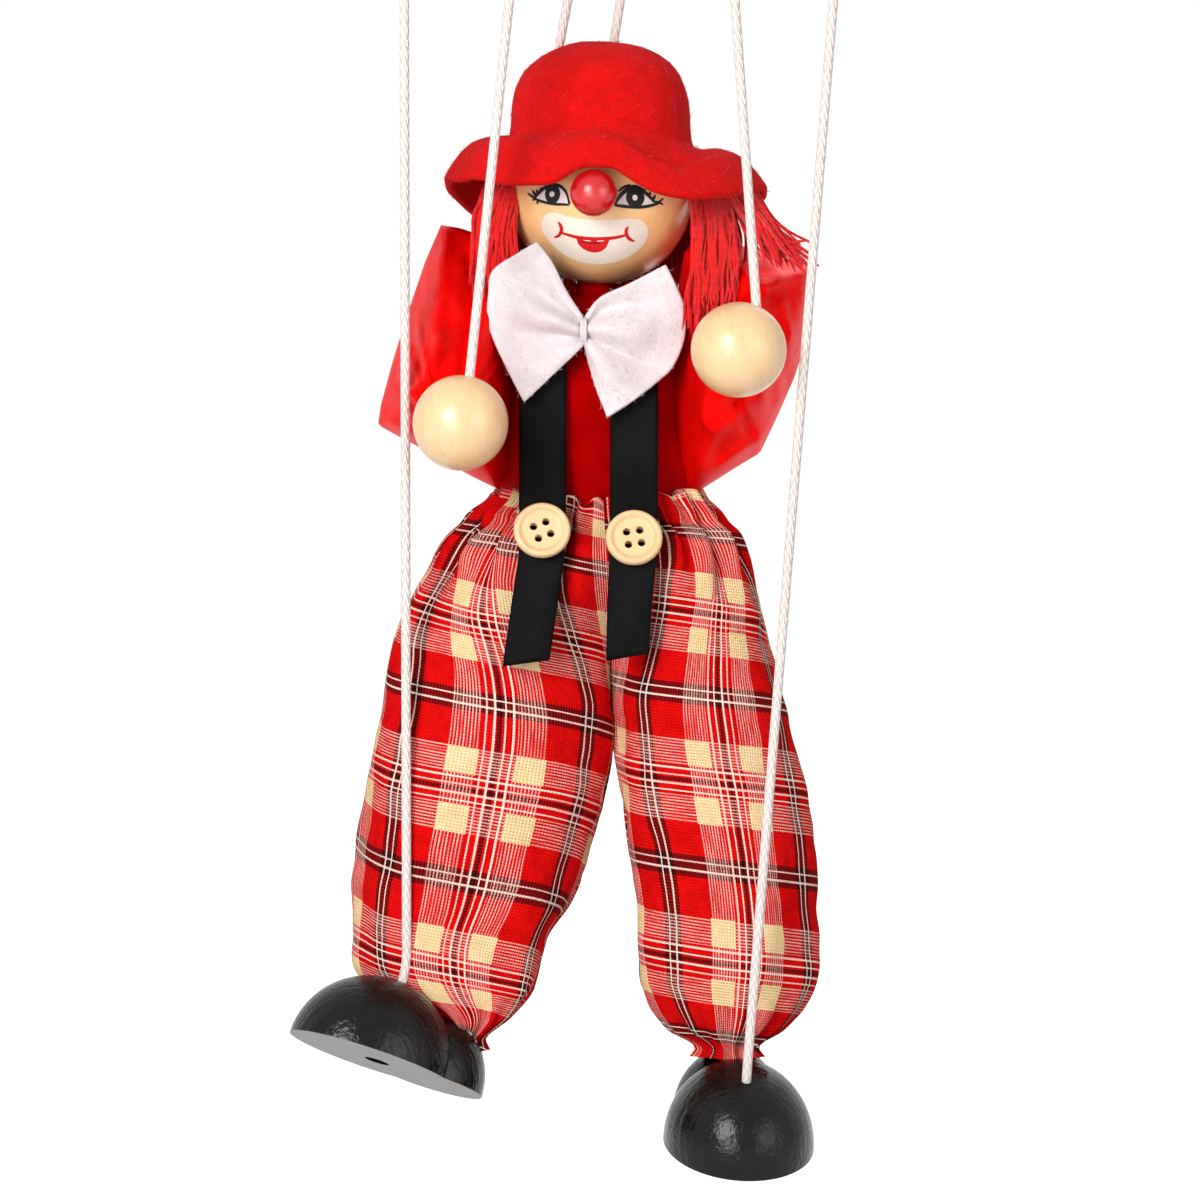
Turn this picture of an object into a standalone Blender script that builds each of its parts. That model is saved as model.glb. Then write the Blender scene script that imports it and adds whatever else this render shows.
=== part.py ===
# Clown marionette hanging in the pose of the photograph.
# Metres, Z up, the doll faces -Y. The origin is the middle of the top of the control's main bar.
# Left and right are the doll's own: its left is at +X.
import math

import bmesh
import bpy
from mathutils import Vector

for old in list(bpy.data.objects):
    bpy.data.objects.remove(old, do_unlink=True)

# Clearances
GAP = 0.0003
SEAM_GAP = 0.0014
BORE_GAP = 0.0004

# Control, just above the photograph's view
MAIN_BAR_LENGTH = 0.150
MAIN_BAR_WIDTH = 0.024
BAR_THICKNESS = 0.010
CROSS_BAR_LENGTH = 0.136
CROSS_BAR_WIDTH = 0.016
CROSS_BAR_SETBACK = 0.015
CROSS_BAR_Y = -(MAIN_BAR_LENGTH / 2 - CROSS_BAR_SETBACK)
HEAD_HOLES_Y = -0.022
HEAD_HOLE_SPREAD = 0.0064
HAND_HOLE_SPREAD = 0.026
FOOT_HOLE_SPREAD = 0.0578
SCREW_DIAMETER = 0.004

# Strings and cords
STRING_DIAMETER = 0.0025
KNOT_DIAMETER = 0.0050

# Head
HEAD_CENTRE = Vector((-0.0062, -0.0180, -0.1088))
HEAD_DIAMETER = 0.050
HEAD_TURN = math.radians(-4)
NOSE_DIAMETER = 0.0125
NOSE_DROP = math.radians(5)
NOSE_PEG_DIAMETER = 0.004
HAT_HEIGHT = 0.0153
HAT_RADIUS = 0.0239
FELT = 0.0020

# Body
TORSO_WIDTH = 0.036
TORSO_DEPTH = 0.016
NECK_GAP = 0.0055
TORSO_TOP = -(HEAD_DIAMETER / 2 + NECK_GAP)
NECK_CORD_IN_TORSO = 0.0245
TORSO_BOTTOM = -0.1242
TORSO_X = -0.0015
SHOULDER_DROP = 0.0065
HIP_SPREAD = 0.011
CLOTH = 0.0008
RIBBON_WIDTH = 0.0125
RIBBON_THICKNESS = 0.0006
BUTTON_DIAMETER = 0.015
BUTTON_THICKNESS = 0.0034
BOW_THICKNESS = 0.0026
BAND_WIDTH = 0.0052
BAND_HEIGHT = 0.0130
BAND_THICKNESS = 0.0012
ELASTIC_HEIGHT = 0.005
ARMHOLE_DIAMETER = 0.018

# Limbs, as places measured from the head's centre in the photographed pose
HAND_DIAMETER = 0.025
FOREARM_DIAMETER = 0.007
SHIN_DIAMETER = 0.008
HAND = {"left": Vector((0.0359, -0.045, -0.0449)), "right": Vector((-0.0367, -0.045, -0.0640))}
ELBOW = {"left": Vector((0.0430, -0.0060, -0.0390)), "right": Vector((-0.0450, -0.0070, -0.0560))}
HAND_STRING_OFFSET = {"left": 0.0046, "right": 0.0024}
KNEE = {"left": Vector((0.0240, -0.0140, -0.1770)), "right": Vector((-0.0250, -0.0120, -0.1750))}

# Shoes: two domes on one flat sole
TOE_DIAMETER = 0.040
TOE_LENGTH = 0.046
TOE_HEIGHT = 0.022
HEEL_DIAMETER = 0.030
HEEL_HEIGHT = 0.018
TOE_FORWARD = 0.018
TOE_HOLE_FORWARD = {"left": 0.0060, "right": -0.0020}
SHOE_HEEL = {"left": Vector((0.0341, -0.0060, -0.2480)), "right": Vector((-0.0461, -0.0180, -0.2383))}
SHOE_FORWARD = {"left": Vector((0.130, -0.930, -0.342)), "right": Vector((-0.835, -0.410, 0.367))}
SHOE_UP = {"left": Vector((0.047, -0.339, 0.940)), "right": Vector((0.290, 0.230, 0.920))}
ANKLE_BACK = {"left": 0.0, "right": 0.008}

SIDES = {"left": 1, "right": -1}
RED = (0.62, 0.02, 0.02, 1)
WOOD = (0.72, 0.48, 0.24, 1)
BLACK = (0.01, 0.01, 0.01, 1)
WHITE = (0.85, 0.83, 0.80, 1)

cutters = bpy.data.collections.new("cutters")
bpy.context.scene.collection.children.link(cutters)


def from_head(x, y, z):
    return HEAD_CENTRE + Vector((x, y, z))


def add(name, mesh, colour, roughness=0.6):
    """A finished node with a Principled material of its own."""
    obj = bpy.data.objects.new(name, mesh)
    bpy.context.scene.collection.objects.link(obj)
    material = bpy.data.materials.new(name)
    material.use_nodes = True
    shader = material.node_tree.nodes["Principled BSDF"]
    shader.inputs["Base Color"].default_value = colour
    shader.inputs["Roughness"].default_value = roughness
    mesh.materials.clear()
    mesh.materials.append(material)
    return obj


def take(obj):
    """The mesh of an object made with an operator, with its place in it."""
    mesh = obj.data
    bpy.context.view_layer.update()
    mesh.transform(obj.matrix_world)
    bpy.data.objects.remove(obj, do_unlink=True)
    return mesh


def ball_mesh(centre, radius, segments=24, rings=16):
    bpy.ops.mesh.primitive_uv_sphere_add(segments=segments, ring_count=rings, radius=radius, location=centre)
    return take(bpy.context.object)


def rod_mesh(start, end, radius, sides=14):
    along = end - start
    bpy.ops.mesh.primitive_cylinder_add(vertices=sides, radius=radius, depth=along.length)
    obj = bpy.context.object
    obj.rotation_mode = "QUATERNION"
    obj.rotation_quaternion = along.to_track_quat("Z", "Y")
    obj.location = (start + end) / 2
    return take(obj)


def box_mesh(centre, size):
    bpy.ops.mesh.primitive_cube_add(size=1, location=centre)
    obj = bpy.context.object
    obj.scale = size
    return take(obj)


def tube_mesh(points, radius):
    """A cord: a round tube along a row of points, with its ends filled."""
    curve = bpy.data.curves.new("cord", "CURVE")
    curve.dimensions = "3D"
    curve.bevel_depth = radius
    curve.bevel_resolution = 2
    curve.use_fill_caps = True
    line = curve.splines.new("POLY")
    line.points.add(len(points) - 1)
    for spot, place in zip(line.points, points):
        spot.co = (*place, 1)
    holder = bpy.data.objects.new("cord", curve)
    bpy.context.scene.collection.objects.link(holder)
    bpy.context.view_layer.update()
    mesh = bpy.data.meshes.new_from_object(holder.evaluated_get(bpy.context.evaluated_depsgraph_get()))
    bpy.data.objects.remove(holder, do_unlink=True)
    work = bmesh.new()
    work.from_mesh(mesh)
    bmesh.ops.remove_doubles(work, verts=work.verts, dist=1e-6)
    bmesh.ops.recalc_face_normals(work, faces=work.faces)
    work.to_mesh(mesh)
    work.free()
    return mesh


def tool(mesh):
    """A hidden shape for a Boolean."""
    obj = bpy.data.objects.new("cutter", mesh)
    obj.hide_render = True
    obj.display_type = "WIRE"
    cutters.objects.link(obj)
    return obj


def boolean(obj, mesh, operation="DIFFERENCE"):
    step = obj.modifiers.new(operation.lower(), "BOOLEAN")
    step.operation = operation
    step.solver = "EXACT"
    step.object = tool(mesh)
    return obj


def soften(obj, width, segments=2):
    step = obj.modifiers.new("bevel", "BEVEL")
    step.width = width
    step.segments = segments
    step.limit_method = "ANGLE"
    return obj


def loft_mesh(rings, cap=False, apex=None):
    """Faces between rows of rings with equal counts. Cloth stays open; a lock of hair is capped."""
    work = bmesh.new()
    rows = [[work.verts.new(place) for place in ring] for ring in rings]
    count = len(rows[0])
    for upper, lower in zip(rows, rows[1:]):
        for i in range(count):
            j = (i + 1) % count
            work.faces.new((upper[i], upper[j], lower[j], lower[i]))
    if apex is not None:
        top = work.verts.new(apex)
        for i in range(count):
            work.faces.new((top, rows[0][(i + 1) % count], rows[0][i]))
    if cap:
        work.faces.new(list(reversed(rows[0])))
        work.faces.new(rows[-1])
    bmesh.ops.recalc_face_normals(work, faces=work.faces)
    mesh = bpy.data.meshes.new("loft")
    work.to_mesh(mesh)
    work.free()
    return mesh


def shell(obj, thickness):
    """A cloth wall grown inwards from its outer face."""
    step = obj.modifiers.new("wall", "SOLIDIFY")
    step.thickness = thickness
    step.offset = -1
    return obj


def between(table, at):
    """A smooth value read from rows of (place, value), repeated round a full turn of 360."""
    rows = sorted(table)
    rows = [(rows[-1][0] - 360, rows[-1][1])] + rows + [(rows[0][0] + 360, rows[0][1])]
    for (a, u), (b, v) in zip(rows, rows[1:]):
        if a <= at <= b:
            t = (at - a) / (b - a)
            return u + (v - u) * (3 - 2 * t) * t * t
    return rows[0][1]


def steps(points, every):
    """Points read along straight runs between the given ones, at most this far apart."""
    out = [Vector(points[0])]
    for a, b in zip(points, points[1:]):
        count = max(1, math.ceil((b - a).length / every))
        out += [a.lerp(b, (i + 1) / count) for i in range(count)]
    return out


# Control: a main bar to hold and a cross bar under its front end
bar_middle = Vector((0, 0, -BAR_THICKNESS / 2))
main_bar = add("control_main_bar", box_mesh(bar_middle, (MAIN_BAR_WIDTH, MAIN_BAR_LENGTH, BAR_THICKNESS)), WOOD)
soften(main_bar, 0.0012)
cross_top = -BAR_THICKNESS - GAP
cross_middle = Vector((0, CROSS_BAR_Y, cross_top - BAR_THICKNESS / 2))
cross_bar = add("control_cross_bar", box_mesh(cross_middle, (CROSS_BAR_LENGTH, CROSS_BAR_WIDTH, BAR_THICKNESS)), WOOD)
soften(cross_bar, 0.0012)

# The screw comes from below and stops inside the main bar
cross_bottom = cross_top - BAR_THICKNESS
screw_head = 0.0030
screw_tip = Vector((0, CROSS_BAR_Y, cross_top + 0.006))
screw_base = Vector((0, CROSS_BAR_Y, cross_bottom + 0.0004))
screw = add("control_screw", rod_mesh(screw_base, screw_tip, SCREW_DIAMETER / 2), (0.6, 0.5, 0.25, 1), 0.3)
head_end = screw_base + Vector((0, 0, screw_head))
boolean(screw, rod_mesh(screw_base, head_end, SCREW_DIAMETER * 0.95), "UNION")
below = screw_base - Vector((0, 0, 0.002))
for bar in (main_bar, cross_bar):
    boolean(bar, rod_mesh(below, screw_tip + Vector((0, 0, BORE_GAP)), SCREW_DIAMETER / 2 + BORE_GAP))
boolean(cross_bar, rod_mesh(below, head_end + Vector((0, 0, BORE_GAP)), SCREW_DIAMETER * 0.95 + BORE_GAP))

# String holes, with the knot sunk in a wider recess on top
recess_depth = KNOT_DIAMETER + 0.0004


def string_hole(bar, x, y, top):
    middle = Vector((x, y, top))
    down = Vector((0, 0, BAR_THICKNESS + 0.001))
    over = Vector((0, 0, 0.001))
    boolean(bar, rod_mesh(middle - down, middle + over, STRING_DIAMETER / 2 + BORE_GAP * 2, 12))
    floor = middle - Vector((0, 0, recess_depth))
    boolean(bar, rod_mesh(floor, middle + over, KNOT_DIAMETER / 2 + BORE_GAP, 16))
    return floor + Vector((0, 0, KNOT_DIAMETER / 2 + GAP / 2))


knot_at = {}
for side, sign in SIDES.items():
    knot_at["head", side] = string_hole(main_bar, sign * HEAD_HOLE_SPREAD, HEAD_HOLES_Y, 0.0)
    knot_at["hand", side] = string_hole(cross_bar, sign * HAND_HOLE_SPREAD, CROSS_BAR_Y, cross_top)
    knot_at["foot", side] = string_hole(cross_bar, sign * FOOT_HOLE_SPREAD, CROSS_BAR_Y, cross_top)


def string(name, knot, route):
    """A cord from its knot in the control down a route to where it is fixed."""
    leave = knot - Vector((0, 0, KNOT_DIAMETER / 2 + BAR_THICKNESS - recess_depth + 0.002))
    points = steps([knot, leave, *route], 0.030)
    obj = add(name, tube_mesh(points, STRING_DIAMETER / 2), WHITE)
    boolean(obj, ball_mesh(knot, KNOT_DIAMETER / 2, 10, 6), "UNION")
    return leave


# Head: a turned ball bored through for the neck cord
head_radius = HEAD_DIAMETER / 2
up = Vector((0, 0, 1))
head = add("head_ball", ball_mesh(HEAD_CENTRE, head_radius, 26, 16), WOOD, 0.3)
boolean(head, rod_mesh(HEAD_CENTRE - up * HEAD_DIAMETER, HEAD_CENTRE + up * HEAD_DIAMETER,
                       STRING_DIAMETER / 2 + BORE_GAP, 12))

# Nose on its peg
face = Vector((math.sin(HEAD_TURN), -math.cos(HEAD_TURN), -math.tan(NOSE_DROP))).normalized()
nose_radius = NOSE_DIAMETER / 2
nose_centre = HEAD_CENTRE + face * (head_radius + nose_radius + GAP)
nose = add("nose_ball", ball_mesh(nose_centre, nose_radius, 20, 14), RED, 0.2)
peg_in = HEAD_CENTRE + face * (head_radius - 0.006)
peg_out = nose_centre - face * (nose_radius - 0.005)
add("nose_peg", rod_mesh(peg_in, peg_out, NOSE_PEG_DIAMETER / 2, 12), WOOD)
peg_hole = (peg_in - face * BORE_GAP, peg_out + face * BORE_GAP, NOSE_PEG_DIAMETER / 2 + BORE_GAP, 12)
boolean(head, rod_mesh(*peg_hole))
boolean(nose, rod_mesh(*peg_hole))

# Hat: a domed crown and a floppy brim, its edge read round the head from the photograph
BRIM_EDGE_RADIUS = [(0, 0.0446), (35, 0.0430), (90, 0.0425), (150, 0.0435), (180, 0.0440), (222, 0.0415), (242, 0.0395),
                    (254, 0.0372), (262, 0.0355), (278, 0.0352), (287, 0.0382), (300, 0.0412), (330, 0.0442)]
BRIM_EDGE_HEIGHT = [(0, 0.0010), (35, -0.0030), (60, -0.0050), (120, -0.0050), (150, -0.0060), (170, -0.0040),
                    (180, 0.0003), (200, -0.0005), (250, -0.0010), (260, 0.0050), (276, 0.0052), (288, 0.0010),
                    (300, -0.0035), (312, -0.0050), (343, -0.0048)]
HAT_SEGMENTS = 36
brim_start = head_radius * 0.54
crown_top = brim_start + 0.0092 + HAT_HEIGHT + 0.0022
crown_wall = 0.0092


def hat_ring(radius, height):
    turn = 2 * math.pi / HAT_SEGMENTS
    return [from_head(radius * math.cos(i * turn), radius * math.sin(i * turn), height)
            for i in range(HAT_SEGMENTS)]


hat_rings = []
for degrees in (76, 58, 40, 22, 8):
    lift = math.sin(math.radians(degrees))
    spread = math.cos(math.radians(degrees)) ** 0.92
    hat_rings.append(hat_ring(HAT_RADIUS * spread, brim_start + crown_wall + (HAT_HEIGHT + 0.0022) * lift))
hat_rings.append(hat_ring(HAT_RADIUS, brim_start + crown_wall * 0.5))
for part in (0.0, 0.18, 0.45, 0.72, 1.0):
    ring = []
    for i in range(HAT_SEGMENTS):
        angle = 360 * i / HAT_SEGMENTS
        radius = HAT_RADIUS + 0.0006 + (between(BRIM_EDGE_RADIUS, angle) - HAT_RADIUS) * part
        height = brim_start + (between(BRIM_EDGE_HEIGHT, angle) - brim_start) * part ** 1.4
        ring.append(from_head(radius * math.cos(math.radians(angle)), radius * math.sin(math.radians(angle)), height))
    hat_rings.append(ring)
hat = add("felt_hat", loft_mesh(hat_rings, apex=from_head(0, 0, crown_top)), RED, 0.9)
shell(hat, FELT)

# Head strings pass through the crown, just behind its top, into the head
HAT_ENTRY = {"left": Vector((0.0030, 0.005, 0.0385)), "right": Vector((-0.0119, 0.005, 0.0370))}
for side in SIDES:
    knot = knot_at["head", side]
    entry = HEAD_CENTRE + HAT_ENTRY[side]
    leave = knot - Vector((0, 0, KNOT_DIAMETER / 2 + BAR_THICKNESS - recess_depth + 0.002))
    way = (entry - leave).normalized()
    inside = entry - HEAD_CENTRE
    reach = -inside.dot(way) - math.sqrt(max(0.0, inside.dot(way) ** 2 - inside.length_squared + head_radius ** 2))
    seat = entry + way * (reach + 0.004)
    string("head_string_" + side, knot, [entry, seat])
    boolean(head, rod_mesh(entry, seat + way * BORE_GAP, STRING_DIAMETER / 2 + BORE_GAP, 12))
    boolean(hat, rod_mesh(entry - way * 0.006, entry + way * 0.008, STRING_DIAMETER / 2 + BORE_GAP, 12))


# Hair: a lock of wool on each side, under the brim and in front of the shoulder
def oval(centre, across, deep, count=14):
    return [centre + Vector((across * math.cos(2 * math.pi * i / count), deep * math.sin(2 * math.pi * i / count), 0))
            for i in range(count)]


LOCKS = {
    "left": [((0.0265, -0.0060, 0.001), 0.0016, 0.006), ((0.0300, -0.0100, -0.006), 0.0042, 0.0060),
             ((0.0310, -0.0165, -0.015), 0.0062, 0.0040), ((0.0310, -0.0220, -0.022), 0.0052, 0.0022),
             ((0.0305, -0.0245, -0.027), 0.0028, 0.0012)],
    "right": [((-0.0265, -0.0060, 0.001), 0.0016, 0.006), ((-0.0288, -0.0100, -0.006), 0.0032, 0.0055),
              ((-0.0290, -0.0160, -0.013), 0.0042, 0.0035), ((-0.0295, -0.0195, -0.019), 0.0030, 0.0016)],
}
for side, rows in LOCKS.items():
    wide = HEAD_DIAMETER / 0.050
    lock = [oval(from_head(x * wide, y * wide, z * wide), across, deep) for (x, y, z), across, deep in rows]
    add("hair_" + side, loft_mesh(lock, cap=True), RED, 0.9)

# Torso block, hung from the head by the neck cord
torso_middle = from_head(TORSO_X, 0, (TORSO_TOP + TORSO_BOTTOM) / 2)
torso = add("torso_block", box_mesh(torso_middle, (TORSO_WIDTH, TORSO_DEPTH, TORSO_TOP - TORSO_BOTTOM)), WOOD)
soften(torso, 0.004, 2)
neck_top = HEAD_CENTRE + up * (head_radius + KNOT_DIAMETER / 2 + GAP)
neck_end = from_head(0, 0, TORSO_TOP - NECK_CORD_IN_TORSO)
neck = add("neck_cord", tube_mesh(steps([neck_top, neck_end], 0.03), STRING_DIAMETER / 2), WHITE)
boolean(neck, ball_mesh(neck_top, KNOT_DIAMETER / 2, 10, 6), "UNION")
boolean(torso, rod_mesh(neck_end - up * BORE_GAP, neck_top, STRING_DIAMETER / 2 + BORE_GAP, 12))


# Shirt body over the block: half width and half depth at heights below the head's centre
def body_ring(x, half_width, half_depth, height, count=32, pinch=0.0, folds=0.0, number=9):
    ring = []
    for i in range(count):
        turn = 2 * math.pi * i / count
        wave = 1 + folds * math.cos(number * turn + 1.3)
        across = half_width * math.cos(turn) * wave
        narrow = 1 - pinch * math.exp(-(across / (half_width * 0.28)) ** 2)
        ring.append(from_head(x + across, half_depth * math.sin(turn) * wave * narrow, height))
    return ring


side_room = TORSO_WIDTH / 2 + 0.0065
deep_room = TORSO_DEPTH / 2 + 0.007
SHIRT = [(0.0009, 0.42, 0.55, 0), (0.0003, 0.74, 0.75, 0), (-0.0035, 0.97, 0.93, 0), (-0.0090, 1.0, 0.96, 0),
         (-0.0200, 0.98, 1.0, 0.02), (-0.0345, 1.01, 1.04, 0.03), (-0.0455, 1.05, 1.06, 0.03),
         (-0.0525, 1.05, 1.02, 0.0), (-0.0595, 1.04, 1.0, 0.0)]
shirt_rings = [body_ring(TORSO_X, side_room * w, deep_room * d, z + TORSO_TOP + CLOTH * 0.5, 28, 0, f)
               for z, w, d, f in SHIRT]
shirt = add("shirt_body", loft_mesh(shirt_rings), RED, 0.35)
shell(shirt, CLOTH)

# Waist elastic between the shirt's tail and the trousers
waist_width = side_room * 1.046 + GAP
waist_depth = deep_room * 1.012 + GAP
elastic_top = -0.0842
elastic_rings = [body_ring(TORSO_X, waist_width + CLOTH, waist_depth + CLOTH, z, 32)
                 for z in (elastic_top, elastic_top - ELASTIC_HEIGHT)]
elastic = add("waist_elastic", loft_mesh(elastic_rings), WHITE)
shell(elastic, CLOTH)

# Trousers: the gathered waist and seat in one length, then two lengths for each leg
gather = 2 * CLOTH + 2 * GAP
SEAT = [(-0.0812, -0.0015, waist_width + gather + 0.0015, waist_depth + gather + 0.0015, 0, 0.012),
        (-0.0846, -0.0015, waist_width + gather, waist_depth + gather, 0, 0),
        (-0.0892, -0.0015, waist_width + gather, waist_depth + gather, 0, 0),
        (-0.0940, -0.0015, 0.0368, 0.0228, 0, 0.03), (-0.1020, -0.0025, 0.0430, 0.0256, 0, 0.035),
        (-0.1102, -0.0040, 0.0470, 0.0270, 0, 0.03), (-0.1264, -0.0048, 0.0520, 0.0285, 0.10, 0.02),
        (-0.1402, -0.0048, 0.0550, 0.0270, 0.24, 0.01)]
seat_rings = [body_ring(x, w, d, z, 40, p, f, 13) for z, x, w, d, p, f in SEAT]
seat = add("trousers_seat", loft_mesh(seat_rings), RED, 0.85)
shell(seat, CLOTH)


def leg_ring(sign, x, y, half_width, half_depth, height, flat, folds, count=28):
    """A leg's cross section; flat squares off the inner side where two legs meet."""
    ring = []
    for i in range(count):
        turn = 2 * math.pi * i / count
        wave = 1 + folds * math.cos(7 * turn + 0.6) + 0.5 * folds * math.cos(11 * turn)
        across = math.cos(turn)
        if across < 0:
            across = -((-across) ** (1 - 0.7 * flat))
        ring.append(from_head(x + sign * half_width * across * wave, y + half_depth * math.sin(turn) * wave, height))
    return ring


LEG = {
    "left": [(-0.1407, 0.0266, 0, 0.0237, 0.0240, 0.9, 0), (-0.1542, 0.0283, -0.001, 0.0246, 0.0240, 0.4, 0.01),
             (-0.1650, 0.0300, -0.002, 0.0247, 0.0235, 0, 0.02), (-0.1765, 0.0319, -0.003, 0.0247, 0.0230, 0, 0.03),
             (-0.1936, 0.0342, -0.005, 0.0236, 0.0215, 0, 0.04), (-0.2050, 0.0344, -0.006, 0.0236, 0.0205, 0, 0.05),
             (-0.2130, 0.0346, -0.007, 0.0230, 0.0190, 0, 0.06), (-0.2200, 0.0346, -0.009, 0.0186, 0.0160, 0, 0.07),
             (-0.2250, 0.0345, -0.011, 0.0130, 0.0120, 0, 0.07), (-0.2280, 0.0345, -0.0120, 0.0080, 0.0080, 0, 0.06)],
    "right": [(-0.1407, -0.0290, 0, 0.0308, 0.0250, 0.9, 0), (-0.1542, -0.0302, 0, 0.0318, 0.0240, 0.4, 0.01),
              (-0.1650, -0.0320, 0, 0.0315, 0.0230, 0, 0.02), (-0.1745, -0.0336, 0, 0.0312, 0.0220, 0, 0.03),
              (-0.1850, -0.0360, 0, 0.0302, 0.0205, 0, 0.04), (-0.1950, -0.0395, 0, 0.0270, 0.0185, 0, 0.05),
              (-0.2050, -0.0392, -0.0032, 0.0228, 0.0158, 0, 0.05), (-0.2120, -0.0375, -0.007, 0.0165, 0.0130, 0, 0.07),
              (-0.2165, -0.0355, -0.010, 0.0108, 0.0100, 0, 0.07), (-0.2195, -0.0345, -0.0127, 0.0072, 0.0072, 0, 0.06)],
}
KNEE_ROW = 4
for side, sign in SIDES.items():
    rows = [leg_ring(sign, x, y, w, d, z, flat, f) for z, x, y, w, d, flat, f in LEG[side]]
    upper_rows = rows[:KNEE_ROW]
    lower_rows = [[p - Vector((0, 0, GAP)) for p in rows[KNEE_ROW - 1]]] + rows[KNEE_ROW:]
    for part, lengths in (("upper", upper_rows), ("lower", lower_rows)):
        cloth = add("trouser_leg_" + part + "_" + side, loft_mesh(lengths), RED, 0.85)
        shell(cloth, CLOTH)

# Suspenders: ribbon up the back, over the shoulder and down the front, its tail below the button
SUSPENDER_X = {"left": 0.0092, "right": -0.0150}
TAIL_X = {"left": 0.0076, "right": -0.0200}
SHOULDER_PATH = [(0.40, 0.0020), (0.76, 0.0013), (0.93, -0.0030), (0.98, -0.0085), (1.0, -0.0170), (1.03, -0.0260)]
FRONT_PATH = [(-0.0168, -0.068), (-0.0190, -0.079), (-0.0218, -0.0870), (-0.0246, -0.0950), (-0.0268, -0.1040),
              (-0.0283, -0.1150), (-0.0290, -0.1270)]
lift = CLOTH + RIBBON_THICKNESS
ribbon_path = [(deep_room * 1.06, -0.0800)]
ribbon_path += [(deep_room * y, TORSO_TOP + z) for y, z in reversed(SHOULDER_PATH)]
ribbon_path += [(-deep_room * y, TORSO_TOP + z) for y, z in SHOULDER_PATH]
ribbon_path += FRONT_PATH


def ribbon_out(k):
    """The way out of the body at a point of the ribbon's path."""
    along = Vector(ribbon_path[min(len(ribbon_path) - 1, k + 1)]) - Vector(ribbon_path[max(0, k - 1)])
    along.normalize()
    return Vector((0, along.y, -along.x))


for side in SIDES:
    ribbon_rows = []
    for k, (y, z) in enumerate(ribbon_path):
        low = max(0.0, min(1.0, (-0.095 - z) / 0.032))
        middle = from_head(SUSPENDER_X[side] + (TAIL_X[side] - SUSPENDER_X[side]) * low, y, z)
        across = Vector((RIBBON_WIDTH / 2, 0, 0))
        inner = middle + ribbon_out(k) * lift
        outer = inner + ribbon_out(k) * RIBBON_THICKNESS
        ribbon_rows.append([inner - across, inner + across, outer + across, outer - across])
    add("suspender_" + side, loft_mesh(ribbon_rows, cap=True), BLACK, 0.5)

# Buttons: turned discs with a rim and four holes, sewn on the ribbons
BUTTON_X = {"left": 0.0087, "right": -0.0156}
BUTTON_ROW = len(ribbon_path) - 4
BUTTON_LIFT = {"left": 0.0, "right": 0.0020}
for side in SIDES:
    y, z = ribbon_path[BUTTON_ROW]
    normal = ribbon_out(BUTTON_ROW)
    slope = normal.cross(Vector((1, 0, 0)))
    stand = lift + RIBBON_THICKNESS + BUTTON_THICKNESS / 2 + GAP + 0.0003
    middle = from_head(BUTTON_X[side], y, z) + normal * stand + slope * BUTTON_LIFT[side]
    back = middle - normal * BUTTON_THICKNESS / 2
    front_face = middle + normal * BUTTON_THICKNESS / 2
    button = add("button_" + side, rod_mesh(back, front_face, BUTTON_DIAMETER / 2, 28), WOOD, 0.5)
    soften(button, 0.0006)
    rim = front_face - normal * 0.0009
    boolean(button, rod_mesh(rim, front_face + normal * 0.002, BUTTON_DIAMETER * 0.36, 24))
    sideways = Vector((1, 0, 0))
    for i in (-1, 1):
        for j in (-1, 1):
            hole = (sideways * i + slope * j) * BUTTON_DIAMETER * 0.11
            boolean(button, rod_mesh(back + hole - normal * 0.002, front_face + hole + normal * 0.002,
                                     BUTTON_DIAMETER * 0.058, 8))

# Bow tie: two felt wings drawn in at the middle, from the photograph's outline
BOW = [(-0.0010, -0.0250), (-0.0060, -0.0260), (-0.0172, -0.0140), (-0.0295, -0.0222), (-0.0308, -0.0350),
       (-0.0262, -0.0480), (-0.0208, -0.0580), (-0.0110, -0.0500), (-0.0052, -0.0425), (-0.0022, -0.0530),
       (0.0018, -0.0618), (0.0176, -0.0510), (0.0224, -0.0405), (0.0224, -0.0310), (0.0172, -0.0202),
       (0.0020, -0.0262)]
outline = bpy.data.curves.new("bow", "CURVE")
outline.dimensions = "2D"
outline.fill_mode = "BOTH"
outline.extrude = BOW_THICKNESS / 2
line = outline.splines.new("POLY")
line.points.add(len(BOW) - 1)
for spot, (x, z) in zip(line.points, BOW):
    spot.co = (x, z, 0, 1)
line.use_cyclic_u = True
flat = bpy.data.objects.new("bow", outline)
bpy.context.scene.collection.objects.link(flat)
bpy.context.view_layer.update()
bow_mesh = bpy.data.meshes.new_from_object(flat.evaluated_get(bpy.context.evaluated_depsgraph_get()))
bpy.data.objects.remove(flat, do_unlink=True)
bow_y = -(deep_room + CLOTH + 3 * RIBBON_THICKNESS + BOW_THICKNESS / 2 + GAP)
bow_work = bmesh.new()
bow_work.from_mesh(bow_mesh)
bmesh.ops.remove_doubles(bow_work, verts=bow_work.verts, dist=1e-6)
bmesh.ops.subdivide_edges(bow_work, edges=[e for e in bow_work.edges if e.calc_length() > 0.012], cuts=1)
bmesh.ops.triangulate(bow_work, faces=bow_work.faces)
for vert in bow_work.verts:
    x, z, out = vert.co
    flare = 0.0040 * min(1.0, abs(x + 0.0035) / 0.022) ** 2
    vert.co = from_head(x, bow_y - out - flare, z)
bmesh.ops.recalc_face_normals(bow_work, faces=bow_work.faces)
bow_work.to_mesh(bow_mesh)
bow_work.free()
add("bow_tie", bow_mesh, WHITE, 0.9)

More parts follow.
